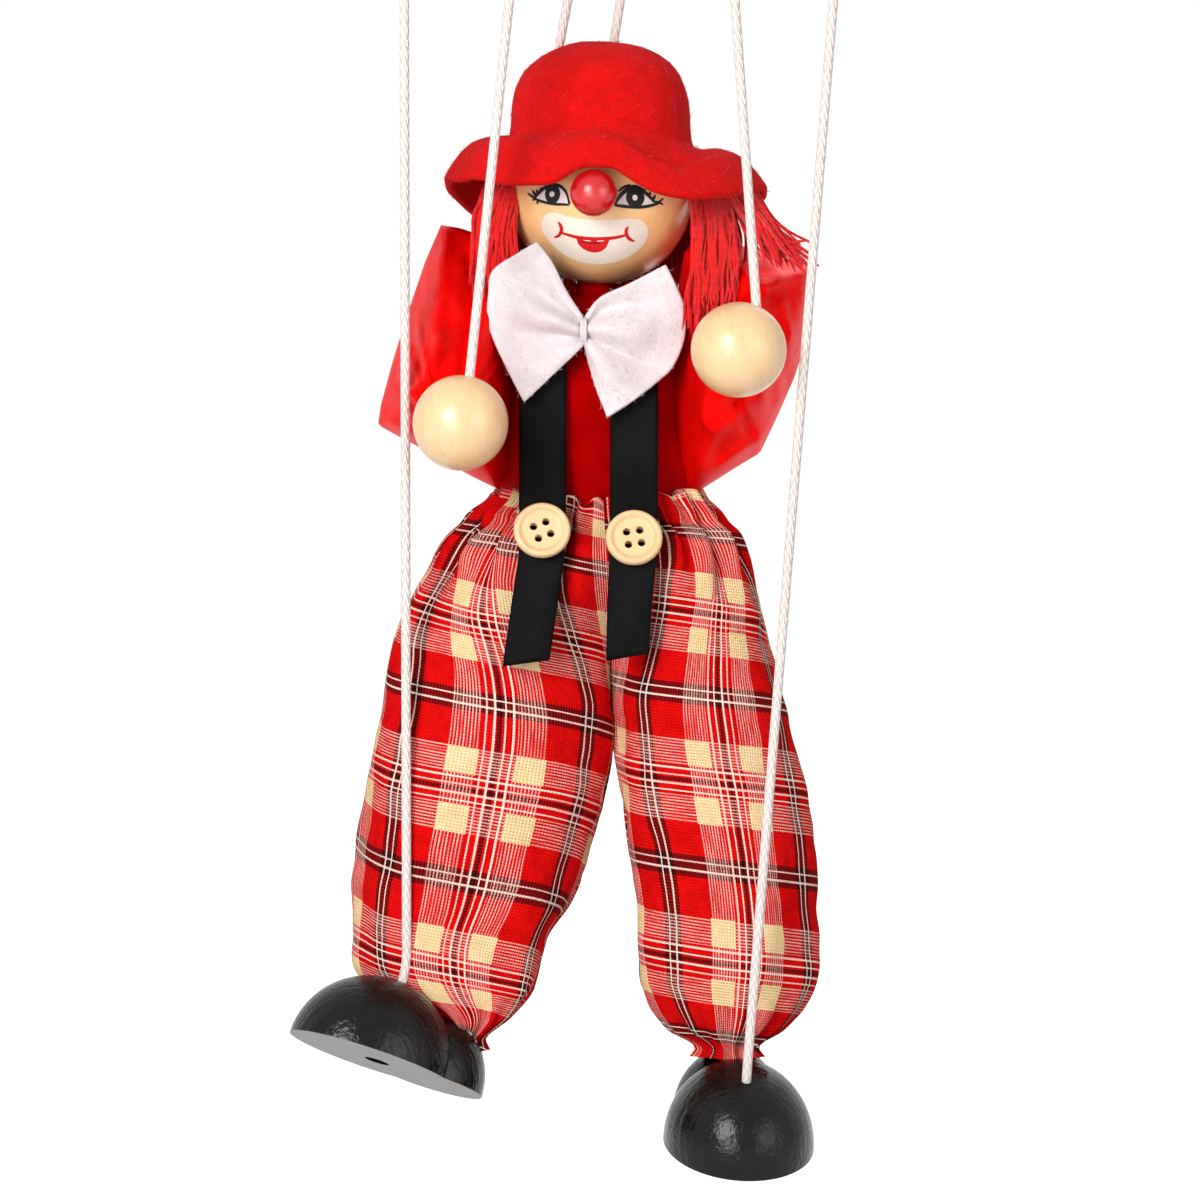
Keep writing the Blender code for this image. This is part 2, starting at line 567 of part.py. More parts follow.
# Stitched band over the bow's drawn-in middle
band_middle = from_head(-0.0036, bow_y - BOW_THICKNESS / 2 - BAND_THICKNESS / 2 - 0.0008, -0.0345)
band = add("bow_tie_band", box_mesh(band_middle, (BAND_WIDTH, BAND_THICKNESS, BAND_HEIGHT)), WHITE, 0.9)
soften(band, 0.0004)

# Arms: a cord from the torso to the forearm dowel, which carries the hand ball
hand_radius = HAND_DIAMETER / 2
SLEEVE = {
    "left": [((0.0, 0, -0.0345), (1, 0, 0), 0.0125, 0.0190), ((0.0300, 0, -0.0345), (1, 0, -0.1), 0.0140, 0.0205),
             ((0.0430, -0.007, -0.0415), (0.6, -0.75, -0.2), 0.0155, 0.0240),
             ((0.0412, -0.020, -0.0445), (-0.05, -1, 0), 0.0145, 0.0190)],
    "right": [((0.0, 0, -0.0345), (-1, 0, 0), 0.0125, 0.0190), ((-0.0320, 0, -0.0360), (-1, -0.05, -0.2), 0.0140, 0.0205),
              ((-0.0440, -0.007, -0.0500), (-0.55, -0.65, -0.5), 0.0165, 0.0205),
              ((-0.0385, -0.020, -0.0600), (0.05, -0.95, -0.3), 0.0130, 0.0160)],
}


def sleeve_ring(centre, normal, across, tall, folds=0.0, count=24):
    normal = Vector(normal).normalized()
    flat_axis = normal.cross(Vector((0, 0, 1))).normalized()
    tall_axis = flat_axis.cross(normal)
    ring = []
    for i in range(count):
        turn = 2 * math.pi * i / count
        wave = 1 + folds * math.cos(6 * turn + 0.8)
        ring.append(centre + (flat_axis * across * math.cos(turn) + tall_axis * tall * math.sin(turn)) * wave)
    return ring


for side, sign in SIDES.items():
    hand_centre = HEAD_CENTRE + HAND[side]
    elbow = HEAD_CENTRE + ELBOW[side]
    reach = (hand_centre - elbow).normalized()

    # Forearm dowel, bored at the elbow for the cord, glued in the hand
    socket = hand_centre - reach * (hand_radius - 0.008)
    forearm = add("forearm_" + side, rod_mesh(elbow, socket, FOREARM_DIAMETER / 2), WOOD)
    hand = add("hand_" + side, ball_mesh(hand_centre, hand_radius, 20, 12), WOOD, 0.3)
    boolean(hand, rod_mesh(elbow, socket + reach * BORE_GAP, FOREARM_DIAMETER / 2 + BORE_GAP))

    # Arm cord from a blind hole in the torso's side
    shoulder = from_head(TORSO_X + sign * TORSO_WIDTH / 2, 0, TORSO_TOP - SHOULDER_DROP)
    inward = Vector((-sign, 0, 0))
    cord_end = elbow + reach * 0.005
    arm_points = [shoulder + inward * 0.006, shoulder - inward * 0.0015]
    sag = shoulder.lerp(elbow, 0.5) - up * (0.006 if side == "left" else 0.001)
    arm_points += [sag, elbow - reach * 0.0035, elbow - reach * 0.001, cord_end]
    add("arm_cord_" + side, tube_mesh(steps(arm_points, 0.012), STRING_DIAMETER / 2), WHITE)
    boolean(torso, rod_mesh(shoulder + inward * (0.006 + BORE_GAP), shoulder - inward * 0.003,
                            STRING_DIAMETER / 2 + BORE_GAP * 2, 12))
    boolean(forearm, rod_mesh(elbow - reach * 0.002, cord_end + reach * BORE_GAP,
                              STRING_DIAMETER / 2 + BORE_GAP, 12))
    boolean(shirt, rod_mesh(shoulder, shoulder - inward * 0.02, ARMHOLE_DIAMETER / 2, 20))

    # Sleeve in two lengths that meet at the elbow
    start = TORSO_X + sign * (side_room * 1.02 + GAP)
    rings = []
    for (x, y, z), normal, across, tall in SLEEVE[side]:
        middle = from_head(x if x else start, y, z)
        rings.append(sleeve_ring(middle, normal, across, tall, 0.04 if x else 0.0))
    wrist = hand_centre - reach * (hand_radius + 0.0015)
    rings.append(sleeve_ring(wrist - reach * 0.0045, reach, 0.0095, 0.0105, 0.05))
    rings.append(sleeve_ring(wrist, reach, 0.0062, 0.0062, 0.04))
    joint_way = Vector(SLEEVE[side][2][1]).normalized()
    lower_rings = [[p + joint_way * SEAM_GAP for p in rings[2]]] + rings[3:]
    for part, lengths in (("upper", rings[:3]), ("lower", lower_rings)):
        cloth = add("sleeve_" + part + "_" + side, loft_mesh(lengths), RED, 0.35)
        shell(cloth, CLOTH)

    # Hand string into a blind hole in the top of the ball
    offset = HAND_STRING_OFFSET[side]
    rise = math.sqrt(hand_radius ** 2 - offset ** 2)
    mouth = hand_centre + Vector((offset, 0, rise))
    knot = knot_at["hand", side]
    leave = knot - Vector((0, 0, KNOT_DIAMETER / 2 + BAR_THICKNESS - recess_depth + 0.002))
    way = (mouth - leave).normalized()
    seat_end = mouth + way * 0.006
    string("hand_string_" + side, knot, [mouth, seat_end])
    boolean(hand, rod_mesh(mouth - way * 0.004, seat_end + way * BORE_GAP, STRING_DIAMETER / 2 + BORE_GAP, 12))

# Legs: a cord from the torso to the shin dowel, which stands in the shoe
for side, sign in SIDES.items():
    knee = HEAD_CENTRE + KNEE[side]
    heel = HEAD_CENTRE + SHOE_HEEL[side]
    forward = SHOE_FORWARD[side].normalized()
    rise = (SHOE_UP[side] - forward * SHOE_UP[side].dot(forward)).normalized()
    sideways = rise.cross(forward)
    toe = heel + forward * TOE_FORWARD

    # Shoe: toe dome and heel dome cut off at one flat sole
    def dome(middle, long, wide, tall, segments):
        bpy.ops.mesh.primitive_uv_sphere_add(segments=segments, ring_count=13, radius=1)
        mesh = take(bpy.context.object)
        for vert in mesh.vertices:
            x, y, z = vert.co
            vert.co = middle + forward * x * long + sideways * y * wide + rise * z * tall
        return mesh

    shoe = add("shoe_" + side, dome(toe, TOE_LENGTH / 2, TOE_DIAMETER / 2, TOE_HEIGHT, 24), BLACK, 0.35)
    boolean(shoe, dome(heel, HEEL_DIAMETER / 2, HEEL_DIAMETER / 2, HEEL_HEIGHT, 20), "UNION")
    ground = []
    for a, b in ((-1, -1), (1, -1), (1, 1), (-1, 1)):
        ground.append(toe + forward * a * TOE_DIAMETER * 2 + sideways * b * TOE_DIAMETER * 2)
    deeper = [p - rise * TOE_HEIGHT * 2 for p in ground]
    boolean(shoe, loft_mesh([ground, deeper], cap=True))

    # String hole square to the sole, widened below for the knot
    hole = toe + forward * TOE_HOLE_FORWARD[side]
    hole_rise = TOE_HEIGHT * math.sqrt(1 - (TOE_HOLE_FORWARD[side] / (TOE_LENGTH / 2)) ** 2)
    apex = hole + rise * hole_rise
    boolean(shoe, rod_mesh(hole - rise * 0.002, apex + rise * 0.004, STRING_DIAMETER / 2 + BORE_GAP * 2, 12))
    boolean(shoe, rod_mesh(hole - rise * 0.002, hole + rise * 0.0058, 0.00335, 16))
    knot = knot_at["foot", side]
    leave = knot - Vector((0, 0, KNOT_DIAMETER / 2 + BAR_THICKNESS - recess_depth + 0.002))
    mouth = apex + rise * 0.0012
    way = (leave - mouth).normalized()
    bend_1 = mouth + (rise * 2 + way).normalized() * 0.0030
    bend_2 = bend_1 + (rise + way * 2).normalized() * 0.0030
    low_knot = hole + rise * 0.0032
    string("foot_string_" + side, knot, [bend_2, bend_1, mouth, low_knot])
    boolean(bpy.data.objects["foot_string_" + side], ball_mesh(low_knot, KNOT_DIAMETER / 2, 10, 6), "UNION")

    # Shin dowel in the heel dome, and the thigh cord above it
    back_part = ANKLE_BACK[side]
    ankle_rise = HEEL_HEIGHT * math.sqrt(1 - (back_part / (HEEL_DIAMETER / 2)) ** 2)
    ankle = heel - forward * back_part + rise * ankle_rise
    fall = (ankle - knee).normalized()
    shin_end = ankle + fall * 0.006
    shin = add("shin_" + side, rod_mesh(knee, shin_end, SHIN_DIAMETER / 2), WOOD)
    boolean(shoe, rod_mesh(knee, shin_end + fall * BORE_GAP, SHIN_DIAMETER / 2 + BORE_GAP))
    hip = from_head(TORSO_X + sign * HIP_SPREAD, 0, TORSO_BOTTOM)
    cord_end = knee + fall * 0.006
    leg_points = [hip + up * 0.008, hip - up * 0.0015, knee - fall * 0.0035, knee - fall * 0.001, cord_end]
    add("thigh_cord_" + side, tube_mesh(steps(leg_points, 0.015), STRING_DIAMETER / 2), WHITE)
    boolean(torso, rod_mesh(hip - up * 0.003, hip + up * (0.008 + BORE_GAP), STRING_DIAMETER / 2 + BORE_GAP * 2, 12))
    boolean(shin, rod_mesh(knee - fall * 0.002, cord_end + fall * BORE_GAP, STRING_DIAMETER / 2 + BORE_GAP, 12))
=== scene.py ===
# %% [markdown]
# # A clown marionette
#
# The real object is a wooden doll on six strings, in satin, plaid cotton, felt and wool. The packed model gives the
# frame: every piece below is built in metres, in the same place as the solid that it dresses, and many pieces are
# parented to an empty named after the body that moves them. Soft pieces could be simulated, but a shape drawn in code
# comes out the same each time and can follow the photograph's outlines. Left and right are the doll's own, so its left
# is at the viewer's right.

# %% Setup
import math
import random

import bmesh
import bpy
from mathutils import Matrix, Vector, noise


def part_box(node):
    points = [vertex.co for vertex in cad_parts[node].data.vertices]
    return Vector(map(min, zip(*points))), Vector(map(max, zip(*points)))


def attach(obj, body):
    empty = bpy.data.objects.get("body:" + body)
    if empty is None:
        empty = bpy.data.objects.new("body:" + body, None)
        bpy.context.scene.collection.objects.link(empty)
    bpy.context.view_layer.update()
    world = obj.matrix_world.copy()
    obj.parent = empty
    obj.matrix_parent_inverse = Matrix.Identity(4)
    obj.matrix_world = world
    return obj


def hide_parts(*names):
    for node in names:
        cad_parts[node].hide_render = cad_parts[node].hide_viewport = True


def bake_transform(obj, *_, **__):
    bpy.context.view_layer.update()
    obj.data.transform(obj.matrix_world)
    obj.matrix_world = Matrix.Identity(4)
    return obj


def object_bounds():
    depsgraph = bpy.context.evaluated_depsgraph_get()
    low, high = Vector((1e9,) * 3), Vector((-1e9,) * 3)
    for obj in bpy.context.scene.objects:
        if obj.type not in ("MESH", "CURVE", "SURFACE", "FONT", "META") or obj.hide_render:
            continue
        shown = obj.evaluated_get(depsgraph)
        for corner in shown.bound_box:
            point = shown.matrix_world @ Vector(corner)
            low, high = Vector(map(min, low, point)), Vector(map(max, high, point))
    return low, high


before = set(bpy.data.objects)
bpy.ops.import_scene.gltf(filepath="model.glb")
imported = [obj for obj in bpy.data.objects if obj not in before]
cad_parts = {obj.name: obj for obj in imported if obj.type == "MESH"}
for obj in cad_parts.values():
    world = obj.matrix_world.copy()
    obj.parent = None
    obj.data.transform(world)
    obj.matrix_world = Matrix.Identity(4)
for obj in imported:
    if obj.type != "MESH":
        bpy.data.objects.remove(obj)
cad_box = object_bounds()
SIDES = {"left": 1, "right": -1}
HEAD = Vector((-0.0062, -0.0180, -0.1088))
HEAD_RADIUS = 0.025
CORD = 0.0025
FULL_TURN = 6.2832


def tell(*objects):
    """Prints the size of finished pieces, in millimetres, and how many faces they have."""
    for obj in objects:
        spots = [v.co for v in obj.data.vertices]
        size = [1000 * (max(p[i] for p in spots) - min(p[i] for p in spots)) for i in range(3)]
        print("%s: %.1f x %.1f x %.1f mm, %d faces" % (obj.name, *size, len(obj.data.polygons)))


print("solids:", len(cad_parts), "box of the whole, in metres:", [[round(c, 4) for c in p] for p in cad_box])

# %% [markdown]
# ## Camera
#
# The camera looks level along +Y from 1.35 m in front of the head, with a long lens, because the photograph shows
# little perspective. The scale comes from the wooden balls, which are 50 and 25 mm across. Outlines could be measured
# in metres, but it is easier to read them off the photograph: `at` gives the point at depth y that it shows at one of
# its 1200 by 1200 pixels, and `pixel_of` goes the other way.

# %% Camera
CAMERA = Vector((-0.0065, -1.368, -0.219))
REACH = 1.35
PIXEL = 0.00027
CENTRE = 600

lens = bpy.data.cameras.new("camera")
lens.lens = 150
lens.sensor_width = 36
camera = bpy.data.objects.new("camera", lens)
camera.location = CAMERA
camera.rotation_euler = (math.pi / 2, 0, 0)
bpy.context.scene.collection.objects.link(camera)
bpy.context.scene.camera = camera


def pixel_size(y):
    """How many metres a pixel covers at depth y."""
    return PIXEL * (y - CAMERA.y) / REACH


def at(px, py, y):
    scale = pixel_size(y)
    return Vector((CAMERA.x + (px - CENTRE) * scale, y, CAMERA.z + (CENTRE - py) * scale))


def pixel_of(x, y, z):
    scale = pixel_size(y)
    return CENTRE + (x - CAMERA.x) / scale, CENTRE - (z - CAMERA.z) / scale


print("the head's middle is at pixel", [round(c) for c in pixel_of(*HEAD)])


# %% [markdown]
# ## Curves
#
# Cloth and wool have few straight lines. Curve objects could give the bends, but short tables are easier to fit to a
# photograph: `smooth` reads a table of (place, value, value ...) rows on a smooth curve, `walk` puts points along one,
# `step` goes softly from 0 to 1, and `rough` is soft noise.

# %% Curves


def smooth(table, place):
    """The values at a place, from rows that start with their place, on a Catmull-Rom curve."""
    if place <= table[0][0]:
        return list(table[0][1:])
    if place >= table[-1][0]:
        return list(table[-1][1:])
    k = max(i for i in range(len(table) - 1) if table[i][0] <= place)
    a, b = table[k], table[k + 1]
    span = b[0] - a[0]
    t = (place - a[0]) / span
    before = table[k - 1] if k else a
    after = table[k + 2] if k + 2 < len(table) else b
    values = []
    for i in range(1, len(a)):
        slope_a = (b[i] - before[i]) / max(b[0] - before[0], 1e-9) * span
        slope_b = (after[i] - a[i]) / max(after[0] - a[0], 1e-9) * span
        h = (2 * t ** 3 - 3 * t ** 2 + 1, t ** 3 - 2 * t ** 2 + t, 3 * t ** 2 - 2 * t ** 3, t ** 3 - t ** 2)
        values.append(h[0] * a[i] + h[1] * slope_a + h[2] * b[i] + h[3] * slope_b)
    return values


def step(low, high, value):
    t = max(0.0, min(1.0, (value - low) / (high - low)))
    return t * t * (3 - 2 * t)


def walk(points, every):
    """Points along a polyline at even steps, with its corners rounded."""
    table = [(0.0, *points[0])]
    for a, b in zip(points, points[1:]):
        table.append((table[-1][0] + (b - a).length, *b))
    count = max(2, round(table[-1][0] / every))
    return [Vector(smooth(table, table[-1][0] * i / count)) for i in range(count + 1)]


def rough(point, size, seed=0.0):
    """Soft noise from -1 to 1, with lumps of the given size in metres."""
    return noise.noise(Vector(point) / size + Vector((seed, seed * 0.7, seed * 1.3)))


print("a smooth table between 0 and 1:", [round(smooth([(0, 0), (1, 1)], t / 4)[0], 3) for t in range(5)])

# %% [markdown]
# ## Sheets and tubes
#
# Most pieces are cloth or cord. Modifiers on a flat plane could fold them, but rows of points give control over each
# thread: `grid` makes a sheet through rows of points, with a UV map in metres, so that weave and plaid keep their
# scale.

# %% Sheets


def add(name, mesh, material):
    """An object for a finished mesh: smooth, facing out, with its material."""
    work = bmesh.new()
    work.from_mesh(mesh)
    bmesh.ops.recalc_face_normals(work, faces=work.faces)
    for face in work.faces:
        face.smooth = True
    work.to_mesh(mesh)
    work.free()
    mesh.materials.clear()
    mesh.materials.append(material)
    obj = bpy.data.objects.new(name, mesh)
    bpy.context.scene.collection.objects.link(obj)
    return obj


def grid(name, rows, material, closed=True, wide=1.0, long=None, cap=False):
    """A sheet through rows of points; wide and long are its cut size, in metres."""
    count = len(rows[0])
    columns = count if closed else count - 1
    runs = [0.0]
    for a, b in zip(rows, rows[1:]):
        runs.append(runs[-1] + sum((q - p).length for p, q in zip(a, b)) / count)
    if long:
        runs = [run * long / runs[-1] for run in runs]
    faces, uvs = [], []
    for r in range(len(rows) - 1):
        for c in range(columns):
            d = (c + 1) % count
            faces.append((r * count + c, r * count + d, (r + 1) * count + d, (r + 1) * count + c))
            u, w = wide * c / columns, wide * (c + 1) / columns
            uvs += [(u, runs[r]), (w, runs[r]), (w, runs[r + 1]), (u, runs[r + 1])]
    if cap:
        for r in (0, len(rows) - 1):
            faces.append(tuple(range(r * count, r * count + count)))
            uvs += [(0.5 * wide, runs[r])] * count
    mesh = bpy.data.meshes.new(name)
    mesh.from_pydata([p for row in rows for p in row], [], faces)
    layer = mesh.uv_layers.new(name="UVMap")
    for loop, uv in zip(layer.data, uvs):
        loop.uv = uv
    return add(name, mesh, material)


def face_out(obj, centre):
    """Turns a sheet's faces so that, over all, they look away from a centre."""
    away = sum((f.center - centre).normalized().dot(f.normal) * f.area for f in obj.data.polygons)
    if away < 0:
        obj.data.flip_normals()


print("sheet tools: add, grid, face_out")

# %% [markdown]
# Cord, yarn and thread are round. A curve's bevel would do, but it gives no rows to change, so `tube_rows` sweeps a
# ring along a path. Each ring's first direction is carried on from the last one's, so that the tube doesn't twist.

# %% Tubes


def path_frames(path):
    """Two directions square to a path at each of its points, without twist."""
    side = Vector((1, 0, 0))
    frames = []
    for k in range(len(path)):
        along = (path[min(k + 1, len(path) - 1)] - path[max(k - 1, 0)]).normalized()
        side = (side - along * side.dot(along)).normalized()
        frames.append((side.copy(), along.cross(side)))
    return frames


def tube_rows(path, radius, sides):
    rows = []
    for point, (one, two) in zip(path, path_frames(path)):
        rows.append([point + (one * math.cos(2 * math.pi * i / sides) + two * math.sin(2 * math.pi * i / sides))
                     * radius for i in range(sides)])
    return rows


print("a ring of six:", [tuple(round(c, 2) for c in p) for p in tube_rows([Vector(), Vector((0, 0, 1))], 1, 6)[0]])

# %% [markdown]
# ## Solid shapes
#
# Turned wood is made on a lathe and then drilled. A sphere and a Boolean modifier do the same here, and the modifier
# is applied at once, so that the mesh itself holds the finished shape.

# %% Solid shapes


def ball(name, centre, radius, material, segments=64, rings=40, turn=None):
    bpy.ops.mesh.primitive_uv_sphere_add(segments=segments, ring_count=rings, radius=radius)
    made = bpy.context.object
    mesh = made.data
    bpy.data.objects.remove(made, do_unlink=True)
    mesh.transform(Matrix.Translation(centre) @ (turn or Matrix()))
    return add(name, mesh, material)


def pick(obj):
    """Makes an object the one that operators work on."""
    bpy.context.view_layer.objects.active = obj
    for other in bpy.context.selected_objects:
        other.select_set(False)
    obj.select_set(True)


def modify(obj, kind, **values):
    """Adds a modifier and applies it."""
    modifier = obj.modifiers.new(kind, kind)
    for key, value in values.items():
        setattr(modifier, key, value)
    pick(obj)
    bpy.ops.object.modifier_apply(modifier=modifier.name)


def cut(obj, tool, operation="DIFFERENCE"):
    modify(obj, "BOOLEAN", object=tool, operation=operation, solver="EXACT")
    bpy.data.objects.remove(tool, do_unlink=True)


def rod(start, end, radius, sides=32):
    return grid("tool", tube_rows([start, end], radius, sides), bpy.data.materials[0], cap=True)


def sharp(obj, degrees):
    """Shades an object smooth, apart from edges that bend by more than the angle."""
    pick(obj)
    bpy.ops.object.shade_smooth_by_angle(angle=math.radians(degrees))


print("tools for turned and drilled wood: ball, cut, rod, sharp")

# %% [markdown]
# ## Materials
#
# A finish is never quite even, so colour, gloss and bump vary over each piece. Nodes could be wired by hand, or
# pictures used, but a formula is shorter and stays sharp at any distance. A `Wire` is one output in a material's node
# tree. Arithmetic on wires adds Math nodes, and `make` adds any other node, so each material below reads as a formula.

# %% Shader maths


class Wire:
    def __init__(self, tree, socket):
        self.tree = tree
        self.socket = socket

    def make(self, kind, inputs, output=0, **settings):
        node = self.tree.nodes.new(kind)
        for key, value in settings.items():
            setattr(node, key, value)
        for key, value in inputs.items():
            if isinstance(value, Wire):
                self.tree.links.new(value.socket, node.inputs[key])
            else:
                node.inputs[key].default_value = value
        return Wire(self.tree, node.outputs[output])

    def math(self, operation, other=0.0):
        return self.make("ShaderNodeMath", {0: self, 1: other}, operation=operation)

    def __add__(self, other):
        return self.math("ADD", other)

    def __sub__(self, other):
        return self.math("SUBTRACT", other)

    def __mul__(self, other):
        return self.math("MULTIPLY", other)

    def __truediv__(self, other):
        return self.math("DIVIDE", other)

    def __gt__(self, other):
        return self.math("GREATER_THAN", other)

    def sin(self):
        return self.math("SINE")

    def high(self, other):
        return self.math("MAXIMUM", other)

    def mix(self, first, second):
        """Goes from one colour to another as this wire goes from 0 to 1."""
        return self.make("ShaderNodeMix", {0: self, 6: first, 7: second}, output=2, data_type="RGBA")

    def spread(self, low, high, to_low=0.0, to_high=1.0):
        return self.make("ShaderNodeMapRange", {0: self, 1: low, 2: high, 3: to_low, 4: to_high})

    def noise(self, scale, detail=2.0, roughness=0.5):
        return self.make("ShaderNodeTexNoise", {"Vector": self, "Scale": scale, "Detail": detail,
                                                "Roughness": roughness})

    def stretch(self, scale, turn=(0, 0, 0)):
        return self.make("ShaderNodeMapping", {"Vector": self, "Rotation": turn, "Scale": scale})

    def parts(self):
        node = self.make("ShaderNodeSeparateXYZ", {0: self})
        return [Wire(self.tree, socket) for socket in node.socket.node.outputs]

    def bump(self, depth):
        """A normal from this wire's height, where 1 stands depth metres proud."""
        return self.make("ShaderNodeBump", {"Height": self, "Distance": depth, "Strength": 1.0})


print("a wire can:", ", ".join(name for name in vars(Wire) if not name.startswith("_")))

# %% [markdown]
# Every material starts from Blender's Principled shader. `material` sets the values that stay the same all over, and
# `feed` links the wires that vary. Colours are given as they look on screen, and `rgb` makes them linear.

# %% Material helpers


def material(name, **values):
    """A material with its shader's constant values set, its object coordinates and its UV map."""
    made = bpy.data.materials.new(name)
    made.use_nodes = True
    tree = made.node_tree
    shader = tree.nodes["Principled BSDF"]
    for key, value in values.items():
        shader.inputs[key.replace("_", " ")].default_value = value
    places = tree.nodes.new("ShaderNodeTexCoord")
    return made, Wire(tree, places.outputs["Object"]), Wire(tree, places.outputs["UV"])


def feed(made, **wires):
    shader = made.node_tree.nodes["Principled BSDF"]
    for key, wire in wires.items():
        made.node_tree.links.new(wire.socket, shader.inputs[key.replace("_", " ")])


def rgb(red, green, blue):
    """A colour from its values as seen on screen, 0 to 255."""
    return tuple((v / 255 / 12.92 if v < 10 else ((v / 255 + 0.055) / 1.055) ** 2.4) for v in (red, green, blue)) + (1,)


def tell_materials(*made):
    for one in made:
        print("%s: %d nodes" % (one.name, len(one.node_tree.nodes)))


print("mid grey on screen is", round(rgb(128, 128, 128)[0], 3), "in the shader")

# %% [markdown]
# ### Wood
#
# Turned wood: long streaks along the grain, a slow change of tone and fine pores, under a varnish that is almost
# smooth. A wave texture would give rings, but such small pieces show streaks, so stretched noise is used. The tones
# differ: honey for the head, pale maple for the hands and buttons, beech for the control.

# %% Wood


def wood(name, pale, dark, along, coat, shine):
    made, place, _ = material(name, Coat_Weight=coat, Coat_Roughness=0.12, Specular_IOR_Level=0.4)
    grain = place.stretch(along)
    streak = grain.noise(1.0, 4.0, 0.6).spread(0.35, 0.68)
    broad = place.noise(38.0, 1.5).spread(0.3, 0.7)
    pores = grain.stretch((3.0, 3.0, 3.0)).noise(2.0, 2.0).spread(0.62, 0.75)
    colour = (streak * 0.6 + broad * 0.4).mix(pale, dark)
    colour = (pores * 0.18).mix(colour, rgb(150, 96, 50))
    feed(made, Base_Color=colour, Roughness=streak.spread(0, 1, shine, shine + 0.1),
         Normal=(streak * 0.5 - pores).bump(0.00004))
    return made


HONEY = wood("varnished_head_wood", rgb(255, 214, 154), rgb(248, 196, 130), (50, 300, 50), coat=0.3, shine=0.34)
MAPLE = wood("pale_hand_wood", rgb(244, 208, 160), rgb(234, 192, 140), (260, 50, 50), coat=0.35, shine=0.3)
BUTTON_WOOD = wood("button_wood", rgb(240, 202, 154), rgb(230, 188, 136), (500, 500, 90), coat=0.1, shine=0.42)
BEECH = wood("control_wood", rgb(226, 182, 124), rgb(196, 144, 88), (500, 45, 500), coat=0.2, shine=0.38)
CROSS_BEECH = wood("cross_bar_wood", rgb(226, 182, 124), rgb(196, 144, 88), (45, 500, 500), coat=0.2, shine=0.38)
DOWEL = wood("dowel_wood", rgb(232, 200, 150), rgb(210, 170, 116), (500, 500, 50), coat=0.0, shine=0.5)
tell_materials(HONEY, MAPLE, BUTTON_WOOD, BEECH, CROSS_BEECH, DOWEL)

# %% [markdown]
# ### Paint
#
# The nose and the shoes are dipped in gloss paint, and the wood's grain shows through the black as fine ridges. The
# soles are flat and thinly painted, and their grey is partly that paint and partly a painted reflection of the white
# floor below them. The face is painted with a brush. A coat on one plain colour would look like plastic, so each paint
# also varies in tone, gloss and bump.

# %% Paint
NOSE_RED, place, uv = material("red_gloss_paint", Base_Color=rgb(205, 10, 14), Coat_Weight=0.5, Coat_Roughness=0.2)
feed(NOSE_RED, Roughness=place.noise(300.0).spread(0.3, 0.7, 0.26, 0.38),
     Base_Color=place.noise(160.0).mix(rgb(212, 12, 16), rgb(190, 6, 10)), Normal=place.noise(260.0).bump(0.00003))

SHOE_BLACK, place, uv = material("black_gloss_paint", Specular_IOR_Level=0.24)
grain = place.stretch((120, 700, 160)).noise(1.0, 3.0, 0.6)
worn = place.noise(900.0, 3.0).spread(0.66, 0.74)
feed(SHOE_BLACK, Base_Color=worn.mix(rgb(7, 6, 6), rgb(30, 28, 27)), Roughness=grain.spread(0.3, 0.7, 0.1, 0.22),
     Normal=(grain * 1.6 + place.noise(700.0, 3.0, 0.6)).bump(0.00018))

# The soles' grey is partly their thin paint and partly a painted reflection of the white floor.
SOLE_GREY_AND_REFLECTION, place, uv = material("painted_sole", Specular_IOR_Level=0.3)
grain = place.stretch((90, 900, 300)).noise(1.0, 4.0, 0.7).spread(0.3, 0.7)
feed(SOLE_GREY_AND_REFLECTION, Base_Color=grain.mix(rgb(128, 127, 125), rgb(192, 191, 188)), Roughness=grain.spread(0, 1, 0.4, 0.6),
     Normal=grain.bump(0.00008))


def paint(name, colour, shine):
    """Brushed paint for the face, a little uneven in tone and gloss."""
    made, place, _ = material(name, Specular_IOR_Level=0.25)
    uneven = place.noise(500.0, 3.0)
    darker = tuple(c * 0.86 for c in colour[:3]) + (1,)
    feed(made, Base_Color=uneven.mix(colour, darker), Roughness=uneven.spread(0.3, 0.7, shine, shine + 0.12),
         Normal=uneven.bump(0.00002))
    return made


FACE_WHITE = paint("face_white", rgb(252, 240, 224), 0.32)
EYE_WHITE = paint("eye_white", rgb(246, 238, 236), 0.3)
FACE_RED = paint("face_red", rgb(214, 16, 22), 0.3)
TONGUE = paint("tongue_red", rgb(222, 24, 28), 0.3)
TONGUE_DARK = paint("tongue_shade", rgb(150, 16, 18), 0.3)
FACE_BLACK = paint("face_black", rgb(5, 5, 6), 0.4)
tell_materials(NOSE_RED, SHOE_BLACK, SOLE_GREY_AND_REFLECTION, FACE_WHITE, EYE_WHITE, FACE_RED, TONGUE, TONGUE_DARK, FACE_BLACK)

# %% [markdown]
# ### Felt and wool
#
# Felt is matted fibre: short hairs in all directions, and a sheen at grazing angles. The yarn of the hair is twisted.
# Particle hair could cover both, but it isn't exported as a mesh. So noise, stretched two ways, makes the felt's hairs
# in the bump, and a slanting wave on each strand's UV map makes the yarn's twist. The yarn's colour follows that wave a
# little, darker where the twist dips: painted shade, with random tone over it.

# %% Felt and wool


